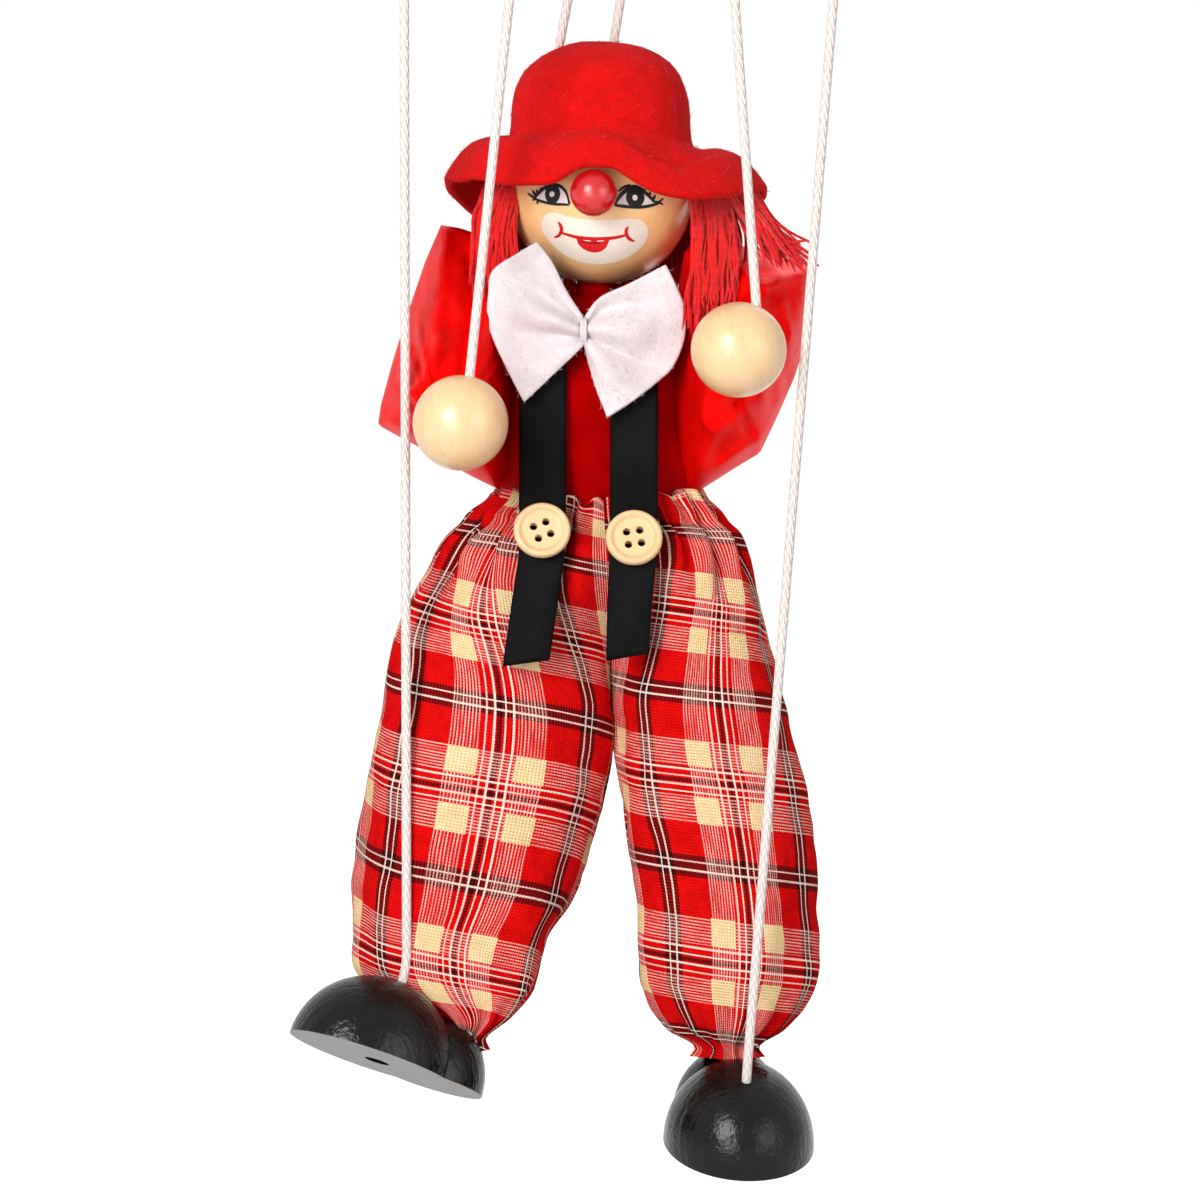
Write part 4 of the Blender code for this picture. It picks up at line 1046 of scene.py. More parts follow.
def strand_rows(points, radius, sides=5):
    rows = tube_rows(points, radius, sides)
    for k, share in ((0, 0.5), (-1, 0.35)):
        rows[k] = [points[k] + (p - points[k]) * share for p in rows[k]]
    return rows


def bundle(name, strands, material, every):
    """One mesh of many thin tubes, each given by its rows of points."""
    verts, faces, uvs = [], [], []
    for rows in strands:
        base = len(verts)
        sides = len(rows[0])
        verts += [p for row in rows for p in row]
        for r in range(len(rows) - 1):
            for c in range(sides):
                d = (c + 1) % sides
                faces.append(tuple(base + v for v in (r * sides + c, r * sides + d, (r + 1) * sides + d,
                                                      (r + 1) * sides + c)))
                uvs += [(c / sides, r * every), ((c + 1) / sides, r * every),
                        ((c + 1) / sides, (r + 1) * every), (c / sides, (r + 1) * every)]
    mesh = bpy.data.meshes.new(name)
    mesh.from_pydata(verts, [], faces)
    layer = mesh.uv_layers.new(name="UVMap")
    for loop, uv in zip(layer.data, uvs):
        loop.uv = uv
    return add(name, mesh, material)


print("strands:", {name: lock["count"] for name, lock in LOCKS.items()})

# %% [markdown]
# Each lock's strands are spread by a generator seeded by its name, pushed just off the head's surface, and made into
# one mesh.

# %% Hair
for name, lock in LOCKS.items():
    dice = random.Random(sum(map(ord, name)))
    strands = []
    for n in range(lock["count"]):
        share = dice.random()
        spots = []
        loose_depth = lock.get("spread", LOOSE_DEPTH)
        depth_shift = dice.uniform(-loose_depth, loose_depth)
        for key, depth, loose in zip(("root", "via", "tip"), lock["depth"], (2, 5, 9)):
            (ax, ay), (bx, by) = lock[key]
            px = ax + (bx - ax) * share + dice.gauss(0, loose * 0.45)
            py = ay + (by - ay) * share + dice.gauss(0, loose)
            spots.append(at(px, py, depth + depth_shift * (0.4 if key == "root" and loose_depth < 0.01 else 1.0)))
        path = walk(spots, STRAND_STEP)
        wave = dice.uniform(0, 6.28)
        for k, p in enumerate(path):
            p.x += 0.0004 * math.sin(k * 0.8 + wave)
            p.y += 0.0004 * math.cos(k * 0.7 + wave)
            away = p - HEAD
            if away.length < HEAD_RADIUS + HAIR_GAP:
                p[:] = HEAD + away.normalized() * (HEAD_RADIUS + HAIR_GAP)
        strands.append(strand_rows(path, dice.uniform(0.00030, 0.00055)))
    wool = bundle("wool_" + name, strands, WOOL, STRAND_STEP)
    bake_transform(wool)
    if name in SIDES:
        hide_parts("hair_" + name)
    tell(wool)

# %% [markdown]
# Loose fibres stand on the hat's felt, as on any wool felt. The bump gives no outline, so a few short hairs are real
# tubes, each on a face picked by its size.

# %% Fuzz


def fuzz(name, obj, count, length, material, seed):
    dice = random.Random(seed)
    polygons = obj.data.polygons[:]
    picked = dice.choices(polygons, weights=[f.area for f in polygons], k=count)
    strands = []
    for face in picked:
        start = face.center + Vector((dice.gauss(0, 0.0004) for i in range(3)))
        start -= face.normal * (start - face.center).dot(face.normal)
        way = Vector((dice.gauss(0, 1) for i in range(3)))
        way = (way - face.normal * way.dot(face.normal)).normalized()
        bend = way.cross(face.normal) * dice.uniform(-0.5, 0.5)
        reach = length * dice.uniform(0.5, 1.3)
        lift = reach * dice.uniform(0.05, 0.3)
        path = [start - face.normal * 0.0001]
        for t in (0.33, 0.66, 1.0):
            path.append(start + (way * t + bend * t * t) * reach + face.normal * lift * math.sin(math.pi * 0.6 * t))
        strands.append(strand_rows(path, dice.uniform(0.000035, 0.00006), 3))
    return bundle(name, strands, material, length / 3)


hat_fuzz = fuzz("hat_fibres", hat, count=1700, length=0.0019, material=WOOL, seed=3)
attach(hat_fuzz, "head")
tell(hat_fuzz)

# %% [markdown]
# ## Hands
#
# The hands are turned balls of 25 mm on the forearm dowels, which the sleeves hide. Fingers could be carved, but this
# doll has none, so plain spheres are enough. Their grain runs another way than the head's.

# %% Hands
HAND_RADIUS = 0.0125
HAND = {"left": Vector((0.0297, -0.0630, -0.1537)), "right": Vector((-0.0429, -0.0630, -0.1728))}
ELBOW = {"left": Vector((0.0368, -0.0240, -0.1478)), "right": Vector((-0.0512, -0.0250, -0.1648))}
for side in SIDES:
    hand = ball("hand_ball_" + side, HAND[side], HAND_RADIUS, MAPLE, 56, 36, Matrix.Rotation(0.6, 4, "Y"))
    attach(hand, "forearm_" + side)
    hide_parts("hand_" + side)
    tell(hand)

# %% [markdown]
# ## Shirt body
#
# The shirt is a satin tube, gathered at the neck and tucked into the trousers, with soft folds that fall from the neck.
# A cloth simulation would give finer folds, but little of the shirt is seen between bow and suspenders. SHIRT has its
# half width, half depth and looseness by height, and each row of points is an ellipse with folds.

# %% Shirt
SHIRT_CUT = 0.13
SHIRT_ROWS, SHIRT_COLUMNS = 90, 96
TORSO_X = HEAD.x - 0.0015
SHIRT = [(-0.0250, 0.0062, 0.0062, 0.0), (-0.0262, 0.0050, 0.0050, 0.0), (-0.0280, 0.0062, 0.0058, 0.0),
         (-0.0298, 0.0140, 0.0100, 0.0), (-0.0312, 0.0200, 0.0125, 0.2),
         (-0.0345, 0.0236, 0.0140, 0.6), (-0.0400, 0.0246, 0.0146, 1.0), (-0.0500, 0.0242, 0.0152, 1.0),
         (-0.0640, 0.0247, 0.0158, 1.0), (-0.0760, 0.0256, 0.0160, 0.8), (-0.0840, 0.0258, 0.0156, 0.4),
         (-0.0900, 0.0255, 0.0152, 0.2)]
rows = []
for k in range(SHIRT_ROWS + 1):
    z = SHIRT[0][0] + (SHIRT[-1][0] - SHIRT[0][0]) * (k / SHIRT_ROWS) ** 1.5
    wide, deep, loose = smooth([(-row[0], *row[1:]) for row in SHIRT], -z)
    row = []
    for i in range(SHIRT_COLUMNS):
        turn = 2 * math.pi * i / SHIRT_COLUMNS
        fold = 0.0005 * math.sin(9 * turn + 3 * math.sin(z * 90)) + 0.0006 * rough((turn * 0.012, 0, z), 0.008, 3.0)
        grow = 1 + fold * loose / 0.02
        row.append(Vector((TORSO_X + wide * grow * math.cos(turn), HEAD.y + deep * grow * math.sin(turn), HEAD.z + z)))
    rows.append(row)
# The shirt takes the darker satin, which is painted shade from head and sleeves.
shirt = grid("shirt_body_satin", rows, SHADED_SHIRT_SATIN, wide=SHIRT_CUT)
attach(shirt, "torso")
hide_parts("shirt_body")
tell(shirt)

# %% [markdown]
# ## Sleeves
#
# Each sleeve is a wide bag, gathered at the wrist, that the raised arm pushes into a flat, wrinkled shape. A simulation
# would have to find that shape by luck, so it is drawn: seen from the front, the sleeve has the photograph's outline.
# Its front is drawn to the back of the hand ball in radial gathers, and its back swells behind the arm. FOLDS has the
# largest ridges and valleys, as lines in pixels with a height and a width.

# %% Sleeve outlines
SLEEVES = {
    "right": {"outline": [(441, 225), (425, 262), (408, 312), (393, 360), (381, 404), (378, 425), (396, 435),
                          (415, 445), (445, 462), (475, 478), (500, 490), (512, 470), (514, 420), (512, 360),
                          (510, 300), (500, 250), (478, 234), (460, 228)], "middle": (462, 352)},
    "left": {"outline": [(700, 235), (740, 245), (780, 256), (815, 266), (813, 292), (811, 319), (804, 348),
                         (795, 376), (778, 415), (760, 453), (735, 468), (710, 484), (682, 502), (676, 470),
                         (674, 420), (674, 360), (676, 300), (684, 252)], "middle": (738, 352)},
}
FOLDS = {
    "right": [((443, 232), (440, 345), 0.0024, 9), ((440, 345), (416, 402), 0.0018, 9),
              ((472, 262), (468, 372), -0.0026, 9), ((398, 398), (430, 384), 0.0010, 6),
              ((383, 420), (420, 436), 0.0012, 7), ((415, 290), (396, 370), -0.0012, 8)],
    "left": [((815, 267), (766, 288), 0.0026, 8), ((737, 402), (754, 438), -0.0022, 5),
             ((756, 440), (690, 498), 0.0020, 8), ((702, 470), (724, 424), 0.0016, 11),
             ((774, 300), (788, 392), -0.0018, 8), ((803, 292), (780, 404), 0.0016, 7),
             ((700, 250), (705, 330), -0.0016, 8), ((760, 272), (742, 300), -0.0012, 6)],
}
SLEEVE_Y = -0.0190


def crease(spot, folds):
    """How far the cloth stands out at a point, from ridges and valleys drawn in the photograph's pixels."""
    here = Vector(pixel_of(*spot))
    out = 0.0
    for a, b, high, wide in folds:
        a, b = Vector(a), Vector(b)
        along = max(0.0, min(1.0, (here - a).dot(b - a) / (b - a).length_squared))
        off = (here - a.lerp(b, along)).length / wide
        out += high * math.exp(-off * off)
    return out


print("folds drawn:", {side: len(folds) for side, folds in FOLDS.items()})

# %% [markdown]
# The rows of points start behind the arm and run out to the outline, in to the wrist and on along the cuff. `rim` has
# the ways out from the wrist that belong to the points of the outline.

# %% Sleeve rows
SLEEVE_COLUMNS, BACK_ROWS, FRONT_ROWS, CUFF_ROWS = 120, 16, 30, 5
CUFF_RADIUS = 0.0056
BACK_SWELL = 0.0165
FOLD_GAIN = 1.7


def sleeve_edge(outline):
    """Points at even steps round an outline in pixels, put at the sleeves' depth."""
    corners = [Vector(p) for p in outline]
    lengths = [(b - a).length for a, b in zip(corners, corners[1:] + corners[:1])]
    edge = []
    for i in range(SLEEVE_COLUMNS):
        run = sum(lengths) * i / SLEEVE_COLUMNS
        k = 0
        while run > lengths[k]:
            run -= lengths[k]
            k += 1
        spot = corners[k].lerp(corners[(k + 1) % len(corners)], run / lengths[k])
        edge.append(at(spot.x, spot.y, SLEEVE_Y))
    return edge


def back_of_sleeve(edge, rounded, middle, sign):
    rows = []
    for k in range(BACK_ROWS, 0, -1):
        s = k / BACK_ROWS
        row = []
        for p, soft_edge in zip(edge, rounded):
            spot = p.lerp(soft_edge, min(1, 2.5 * s)).lerp(middle, s * 0.98)
            swell = BACK_SWELL * math.sqrt(1 - (1 - s) ** 2)
            fold = 0.0007 * rough((spot.x, 0, spot.z), 0.009, 4.0 + sign) * s
            row.append(spot + Vector((0, swell + fold, 0)))
        rows.append(row)
    return rows


def front_of_sleeve(edge, rounded, turns, rim, wrist, side):
    sign = SIDES[side]
    ruffle = random.Random(7 + sign)
    waves = [(n, ruffle.uniform(0, 6.28), ruffle.uniform(0.5, 1.0)) for n in (5, 9, 14)]
    rows = []
    for k in range(FRONT_ROWS + 1):
        s = k / FRONT_ROWS
        soft = math.sin(math.pi * s)
        row = []
        for p, soft_edge, turn, out in zip(edge, rounded, turns, rim):
            mouth = wrist + out * CUFF_RADIUS
            spot = p.lerp(soft_edge, min(1, 2.5 * s)).lerp(mouth, s ** 1.15)
            swell = (mouth.y - p.y) * (1 - (1 - s) ** 2.1)
            spot.y = p.y + swell
            gather = sum(a * math.sin(n * turn + phase + 2.2 * s) for n, phase, a in waves)
            spot.y += 0.0011 * gather * math.sin(math.pi * min(1, s * 1.05)) ** 1.2
            spot.y -= FOLD_GAIN * crease(spot, FOLDS[side]) * min(1, 6 * s) * min(1, 4 * (1 - s))
            spot.y += 0.0046 * abs(rough((spot.x * 1.3, 0, spot.z), 0.013, 9.0 + sign)) * soft
            spot.y += 0.0018 * abs(rough((spot.x * 1.5, 0, spot.z * 0.8), 0.006, 14.0 + sign)) * soft
            pleat = 0.0007 * math.sin(16 * turn) * step(0.6, 0.95, s)
            row.append(spot + out * pleat)
        rows.append(row)
    return rows


print("rows of points in a sleeve:", BACK_ROWS + FRONT_ROWS + 1 + CUFF_ROWS)

# %% [markdown]
# The gathered front is a piece of its own, and the bag another. They meet at row SPLIT of the front.

# %% Sleeves
SPLIT = 13
SOFTEN = 12
SLEEVE_CUT, SLEEVE_FLAT = 0.16, 0.08
WRIST_BACK = 0.0140
for side, sign in SIDES.items():
    spec = SLEEVES[side]
    reach = (HAND[side] - ELBOW[side]).normalized()
    wrist = HAND[side] - reach * WRIST_BACK
    edge = sleeve_edge(spec["outline"])
    one = reach.cross(Vector((0, 0, 1))).normalized()
    two = one.cross(reach)
    middle = at(*spec["middle"], SLEEVE_Y)
    rounded = [sum((edge[(i + j) % SLEEVE_COLUMNS] for j in range(-SOFTEN, SOFTEN + 1)), Vector()) / (2 * SOFTEN + 1)
               for i in range(SLEEVE_COLUMNS)]
    turns = [math.atan2((p - middle).dot(two), (p - middle).dot(one)) for p in edge]
    rim = [one * math.cos(turn) + two * math.sin(turn) for turn in turns]
    back_rows = back_of_sleeve(edge, rounded, middle, sign)
    front_rows = front_of_sleeve(edge, rounded, turns, rim, wrist, side)
    cuff_rows = []
    for k in range(1, CUFF_ROWS + 1):
        flares = [CUFF_RADIUS + 0.0012 * k / CUFF_ROWS + 0.0006 * math.sin(16 * turn) for turn in turns]
        cuff_rows.append([wrist + reach * 0.0010 * k + out * flare for out, flare in zip(rim, flares)])
    bag = grid("sleeve_bag_" + side, back_rows + front_rows[:SPLIT + 1], SATIN, wide=SLEEVE_CUT)
    gathered = grid("sleeve_front_" + side, front_rows[SPLIT:] + cuff_rows, SATIN, wide=SLEEVE_CUT)
    "upper_arm_" + side
    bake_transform(bag)
    "upper_arm_" + side
    "forearm_" + side
    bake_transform(gathered)
    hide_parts("sleeve_upper_" + side)
    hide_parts("sleeve_lower_" + side)
    for obj in (bag, gathered):
        "forearm_" + side
    tell(bag, gathered)

# %% [markdown]
# ## Trousers
#
# Wide cotton trousers, gathered on elastic at the waist and by thread at the ankles. A tube with the plaid laid on from
# the front would be simpler, but then the stripes would not follow the gathers. So each half is cut as real trousers
# are: one piece of cloth from the front seam, round the hip, to the back seam. At the crotch its two edges meet and it
# becomes a leg. Columns of points are threads of the cloth, so the plaid runs in with the gathers. OUTER and INNER have
# the outlines as (pixel row, pixel column), and DEPTH the middle and half depth that go with them.

# %% Trouser outlines
OUTER = {
    "right": [(492, 494), (500, 490), (508, 480), (516, 471), (532, 457), (560, 436), (607, 408), (640, 396),
              (678, 384), (712, 377), (763, 369), (821, 360), (877, 354), (931, 352), (951, 353), (974, 363),
              (990, 382), (1008, 420), (1022, 442), (1034, 450), (1045, 446)],
    "left": [(492, 702), (500, 706), (508, 712), (516, 719), (532, 734), (560, 746), (600, 760), (659, 776), (711, 787),
             (763, 798), (795, 805), (844, 812), (893, 816), (950, 818), (977, 816), (1005, 801), (1018, 788),
             (1028, 776), (1038, 757), (1044, 753), (1052, 760)],
}
INNER = {
    "right": [(492, 603), (540, 606), (640, 610), (712, 611), (746, 611), (770, 607), (821, 597), (877, 581),
              (905, 569), (931, 553), (974, 539), (990, 533), (1014, 512), (1026, 495), (1034, 486), (1045, 490)],
    "left": [(492, 603), (540, 606), (640, 610), (712, 611), (746, 612), (770, 614), (795, 618), (844, 627), (893, 636),
             (920, 639), (977, 640), (990, 645), (1005, 654), (1018, 666), (1028, 677), (1038, 698), (1044, 703),
             (1052, 697)],
}
DEPTH = {
    "right": [(492, 0, 0.0196), (500, 0, 0.0190), (510, 0, 0.0184), (520, 0, 0.0190), (535, 0, 0.0222),
              (560, 0, 0.0248), (607, 0, 0.0268), (660, 0, 0.0268), (712, 0, 0.0252), (760, 0, 0.0236),
              (820, 0, 0.0222), (870, 0, 0.0205), (910, -0.001, 0.0188), (950, -0.004, 0.0160), (980, -0.007, 0.0130),
              (1005, -0.0095, 0.0108), (1022, -0.0115, 0.0086), (1034, -0.0126, 0.0072), (1045, -0.0129, 0.0080)],
    "left": [(492, 0, 0.0196), (500, 0, 0.0190), (510, 0, 0.0184), (520, 0, 0.0190), (535, 0, 0.0222), (560, 0, 0.0248),
             (607, 0, 0.0268), (660, 0, 0.0268), (712, 0, 0.0252), (760, -0.001, 0.0238), (820, -0.003, 0.0228),
             (880, -0.005, 0.0215), (930, -0.006, 0.0205), (970, -0.007, 0.0190), (1000, -0.009, 0.0160),
             (1020, -0.0105, 0.0128), (1035, -0.0117, 0.0086), (1044, -0.0120, 0.0076), (1052, -0.0120, 0.0086)],
}
WAIST, CROTCH, KNEE_LINE = 492, 716, 800
CUFF = {"right": 1045, "left": 1052}
HALF_CUT = 0.166
PLAID_START = {"right": 0.0335, "left": 0.0262}
PLAID_DOWN = {"right": 0.0330, "left": 0.0370}
PLAID_TILT = {"right": -0.20, "left": 0.10}
print("plaid cloth for one half is %.0f mm wide" % (1000 * HALF_CUT))

# %% [markdown]
# The folds are added up: gathers at the waist, pleats below it, a groove under the elastic, gathers at the ankle, and
# soft waves and noise in between. Three rows at the top are turned in behind the edge, as a hem is.

# %% Trouser folds
LEG_COLUMNS, LEG_ROWS = 132, 150
HEM = ((0.06, 0.0002), (0.11, 0.0012), (0.12, 0.0040))
GATHER_LINE, ELASTIC_LINE, PLEAT_LINE = 508, 523, 548


def leg_rows(side):
    """Rows of points down one half of the trousers, each from its front edge round to its back edge."""
    sign = SIDES[side]
    rows = []
    for k in range(LEG_ROWS + 1):
        py = WAIST + (CUFF[side] - WAIST) * k / LEG_ROWS
        outer = at(smooth(OUTER[side], py)[0], py, HEAD.y)
        inner = at(smooth(INNER[side], py)[0], py, HEAD.y)
        shift, deep = smooth(DEPTH[side], py)
        closed = step(CROTCH - 180, CROTCH, py)
        wide = outer.x - inner.x
        gather = bell(py, GATHER_LINE, 30)
        ankle = bell(py, CUFF[side] - 12, 34)
        row = []
        for i in range(LEG_COLUMNS + 1):
            t = i / LEG_COLUMNS
            half = Vector((inner.x + wide * math.sin(math.pi * t), -deep * math.cos(math.pi * t)))
            whole = Vector((inner.x + wide * (0.5 - 0.5 * math.cos(2 * math.pi * t)),
                            -deep * math.sin(2 * math.pi * t)))
            spot = half.lerp(whole, closed)
            middle = Vector((inner.x + wide * 0.5 * closed, 0))
            out = (spot - middle).normalized()
            open_edge = min(1, 12 * min(t, 1 - t)) if closed < 1 else 1.0
            fold = 0.0017 * math.sin(36 * math.pi * t + 2.3 * math.sin(9 * t)) * gather
            pleats = math.sin(20 * math.pi * t + 1.7 * sign + 3 * math.sin(5 * t))
            fold += 0.0021 * pleats * bell(py, PLEAT_LINE, 34)
            fold -= 0.0009 * bell(py, ELASTIC_LINE, 7)
            fold += 0.0009 * math.sin(30 * math.pi * t + sign) * ankle
            drape = step(515, 600, py)
            fold += 0.0011 * math.sin(10 * math.pi * t + 0.012 * py + sign) * drape * 0.6
            fold += 0.0014 * rough((t * 0.16, 0, py * PIXEL), 0.020, 11.0 + sign) * drape
            fold += 0.0007 * rough((t * 0.16, 0, py * PIXEL), 0.008, 17.0 + sign)
            spot = spot + out * fold * open_edge
            sag = 0.0028 * bell(spot.x, HEAD.x, 0.016) * step(580, 500, py) if spot.y < 0 else 0.0
            frill = 0.0011 * math.sin(52 * t + 5 * math.sin(7 * t)) * bell(py, WAIST, 9)
            row.append(Vector((spot.x, HEAD.y + shift + spot.y, outer.z - sag + frill)))
        if closed >= 1:
            row[-1] = row[0].copy()
        rows.append(row)
    axis = Vector((HEAD.x, HEAD.y, 0))
    for k, (share, drop) in enumerate(HEM):
        turned = [p + Vector((axis.x - p.x, axis.y - p.y, 0)) * share - Vector((0, 0, drop)) for p in rows[k]]
        rows.insert(0, turned)
    return rows


print("points in one half:", (LEG_ROWS + 1 + len(HEM)) * (LEG_COLUMNS + 1))

# %% [markdown]
# Each half is split above the knee into an upper and a lower piece, which share the normals of the whole. The UV map
# starts where the photograph's plaid does, and is tilted as its stripes are.

# %% Trousers
HIP_TOP, HIP_END = -0.222, -0.262
KNEE = {"left": Vector((0.0178, -0.0320, -0.2858)), "right": Vector((-0.0312, -0.0300, -0.2838))}
KNEE_ABOVE, KNEE_BELOW = Vector((0, 0, 0.004)), Vector((0, 0, -0.024))
TURNED = len(HEM)


def smooth_normals(objects):
    """Gives pieces that were cut apart the normals of the whole, so that no line shows between them."""
    sums = {}
    for obj in objects:
        for vert in obj.data.vertices:
            key = tuple(round(c, 6) for c in vert.co)
            sums[key] = sums.get(key, Vector()) + vert.normal
    for obj in objects:
        obj.data.normals_split_custom_set_from_vertices(
            [sums[tuple(round(c, 6) for c in v.co)].normalized() for v in obj.data.vertices])


for side, sign in SIDES.items():
    rows = leg_rows(side)
    runs = [0.0]
    for a, b in zip(rows, rows[1:]):
        runs.append(runs[-1] + (b[LEG_COLUMNS // 4] - a[LEG_COLUMNS // 4]).length)
    knee_row = TURNED + round((KNEE_LINE - WAIST) / (CUFF[side] - WAIST) * (len(rows) - 1 - TURNED))
    runs = [run - runs[TURNED] for run in runs]
    halves = []
    for name, first, last in (("upper", 0, knee_row), ("lower", knee_row, len(rows) - 1)):
        obj = grid("trousers_%s_%s" % (name, side), rows[first:last + 1], PLAID, closed=False, wide=HALF_CUT,
                   long=runs[last] - runs[first])
        for loop in obj.data.uv_layers[0].data:
            across, down = loop.uv.x, loop.uv.y + runs[first]
            loop.uv = (across + PLAID_START[side], down + PLAID_DOWN[side] - PLAID_TILT[side] * (across - HALF_CUT / 4))
        face_out(obj, sum((v.co for v in obj.data.vertices), Vector()) / len(obj.data.vertices))
        halves.append(obj)
    smooth_normals(halves)
    hip_x = TORSO_X + sign * 0.011
    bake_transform(halves[0], "torso", "thigh_" + side, start=(hip_x, HEAD.y, HIP_TOP), end=(hip_x, HEAD.y, HIP_END))
    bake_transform(halves[1], "thigh_" + side, "shin_" + side, start=tuple(KNEE[side] + KNEE_ABOVE),
             end=tuple(KNEE[side] + KNEE_BELOW))
    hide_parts("trouser_leg_upper_" + side)
    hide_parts("trouser_leg_lower_" + side)
    if side == "left":
        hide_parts("trousers_seat")
    tell(*halves)

# %% [markdown]
# ## Bow tie
#
# The bow is one strip of white felt, drawn together in the middle by turns of thread. A pinched plane could be made
# with a cloth simulation, but the photograph gives each edge. So each wing is a patch between its top edge, its bottom
# edge and its outer edge, and pleats run out from the middle and fade towards the outer edge.

# %% Bow tie
BOW_CUT, BOW_THICK = 0.04, 0.0014
WING_ROWS, WING_COLUMNS = 32, 48
BOW_Y = HEAD.y - 0.0188
WINGS = {
    "right": {"top": [(582, 318), (566, 292), (552, 262), (537, 241)], "bottom": [(582, 345), (570, 358), (548, 380),
              (524, 403)], "outer": [(537, 241), (516, 254), (492, 271), (488, 294), (487, 320), (494, 342), (510, 376),
              (524, 403)]},
    "left": {"top": [(586, 318), (600, 298), (630, 283), (666, 264)], "bottom": [(586, 345), (591, 368), (598, 394),
             (607, 418)], "outer": [(666, 264), (677, 286), (685, 308), (685, 338), (674, 366), (660, 380), (635, 400),
             (607, 418)]},
}


def along(points, t):
    return Vector(smooth([(k / (len(points) - 1), *p) for k, p in enumerate(points)], t))


for side, wing in WINGS.items():
    sign = SIDES[side]
    rows = []
    for k in range(WING_ROWS + 1):
        s = k / WING_ROWS
        row = []
        for i in range(WING_COLUMNS + 1):
            a = i / WING_COLUMNS
            top, bottom, outer = along(wing["top"], s), along(wing["bottom"], s), along(wing["outer"], a)
            inner = along([wing["top"][0], wing["bottom"][0]], a)
            ruled = top.lerp(bottom, a)
            swept = inner.lerp(outer, s)
            corners = top * 0
            for c, w in ((Vector(wing["top"][0]), (1 - s) * (1 - a)), (Vector(wing["bottom"][0]), (1 - s) * a),
                         (Vector(wing["top"][-1]), s * (1 - a)), (Vector(wing["bottom"][-1]), s * a)):
                corners = corners + c * w
            px = ruled + swept - corners
            pleat = math.cos(2 * math.pi * (2.2 * a + 0.1 * sign)) * 0.0064 * (s + 0.16) * (1 - s) ** 1.3
            curl = 0.0030 * s * s * (0.6 + 0.4 * math.cos(2 * math.pi * a))
            belly = 0.0022 * math.sin(math.pi * min(1, s * 1.3)) * math.sin(math.pi * a)
            y = BOW_Y - curl - pleat - belly - 0.0004 * rough((px.x * PIXEL, 0, px.y * PIXEL), 0.006, 21.0)
            row.append(at(px.x, px.y, y))
        rows.append(row)
    felt_wing = grid("bow_wing_" + side, rows, BOW_FELT, closed=False, wide=BOW_CUT)
    modify(felt_wing, "SOLIDIFY", thickness=BOW_THICK, offset=0.0)
    modify(felt_wing, "SUBSURF", levels=1)
    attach(felt_wing, "torso")
    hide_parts("bow_tie")
    tell(felt_wing)

# %% [markdown]
# Short fibres stand on the wings, and four turns of thread lie round the middle. The thread is one tube on a stretched
# spiral, as a real winding is.

# %% Bow fibres and thread
THREAD_TURNS, THREAD_STEPS = 4, 24
THREAD_DEEP, THREAD_TALL, THREAD_RADIUS = 0.0021, 0.0036, 0.00026
for side in SIDES:
    wing = bpy.data.objects["bow_wing_" + side]
    wing_fuzz = fuzz("bow_fibres_" + side, wing, count=600, length=0.0011, material=BOW_FELT, seed=5)
    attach(wing_fuzz, "torso")
    tell(wing_fuzz)

turns = []
for n in range(THREAD_TURNS):
    for i in range(THREAD_STEPS + 1):
        turn = 2 * math.pi * i / THREAD_STEPS
        middle = at(583.5 + (n - 1.5) * 1.6, 331.5, BOW_Y - 0.0006)
        turns.append(middle + Vector((0, -THREAD_DEEP * math.cos(turn), THREAD_TALL * math.sin(turn))))
thread = grid("bow_thread", tube_rows(turns, THREAD_RADIUS, 6), BOW_FELT)
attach(thread, "torso")
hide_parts("bow_tie_band")
tell(thread)

# %% [markdown]
# ## Suspenders
#
# The suspenders are satin ribbon, sewn to the trousers' waist behind, laid over the shoulders and held by buttons in
# front. A plane with a Curve modifier could follow that line, but the ribbon's width and place are known in pixels, so
# its rows of points are put where the photograph shows them. Its path down the body repeats the solid's, and the tails
# below the buttons swing out and end in a slanted cut.

# %% Ribbon line
DEEP = 0.015
TOP = HEAD.z - 0.0305
OVER = [(0.40, 0.0020), (0.76, 0.0013), (0.93, -0.0030), (0.98, -0.0085), (1.0, -0.0170), (1.03, -0.0260)]
DOWN = [(-0.0168, -0.068), (-0.0190, -0.079), (-0.0218, -0.0870), (-0.0246, -0.0950), (-0.0268, -0.1040),
        (-0.0283, -0.1150), (-0.0290, -0.1270)]
RIBBON_X = {"right": [(0, 542.5, 47), (500, 542.5, 47), (555, 541.5, 46), (600, 535, 46), (663, 526, 46)],
            "left": [(0, 634, 48), (500, 634, 48), (555, 633, 47), (600, 630, 45), (653, 627.5, 42)]}
RIBBON_END = {"right": 663, "left": 653.5}
CUT_SLOPE = {"right": 3.0, "left": 3.5}
line = [(DEEP * 1.06, HEAD.z - 0.080)]
line += [(DEEP * y, TOP + z) for y, z in reversed(OVER)]
line += [(-DEEP * y, TOP + z) for y, z in OVER]
line += [(y, HEAD.z + z) for y, z in DOWN]
print("points on the ribbon's line:", len(line))

# %% [markdown]
# At each step along the line, the ribbon is lifted off the body by its own direction out, and given its place and width
# across from the photograph. It cups over the body, and ripples more where the tail hangs free.

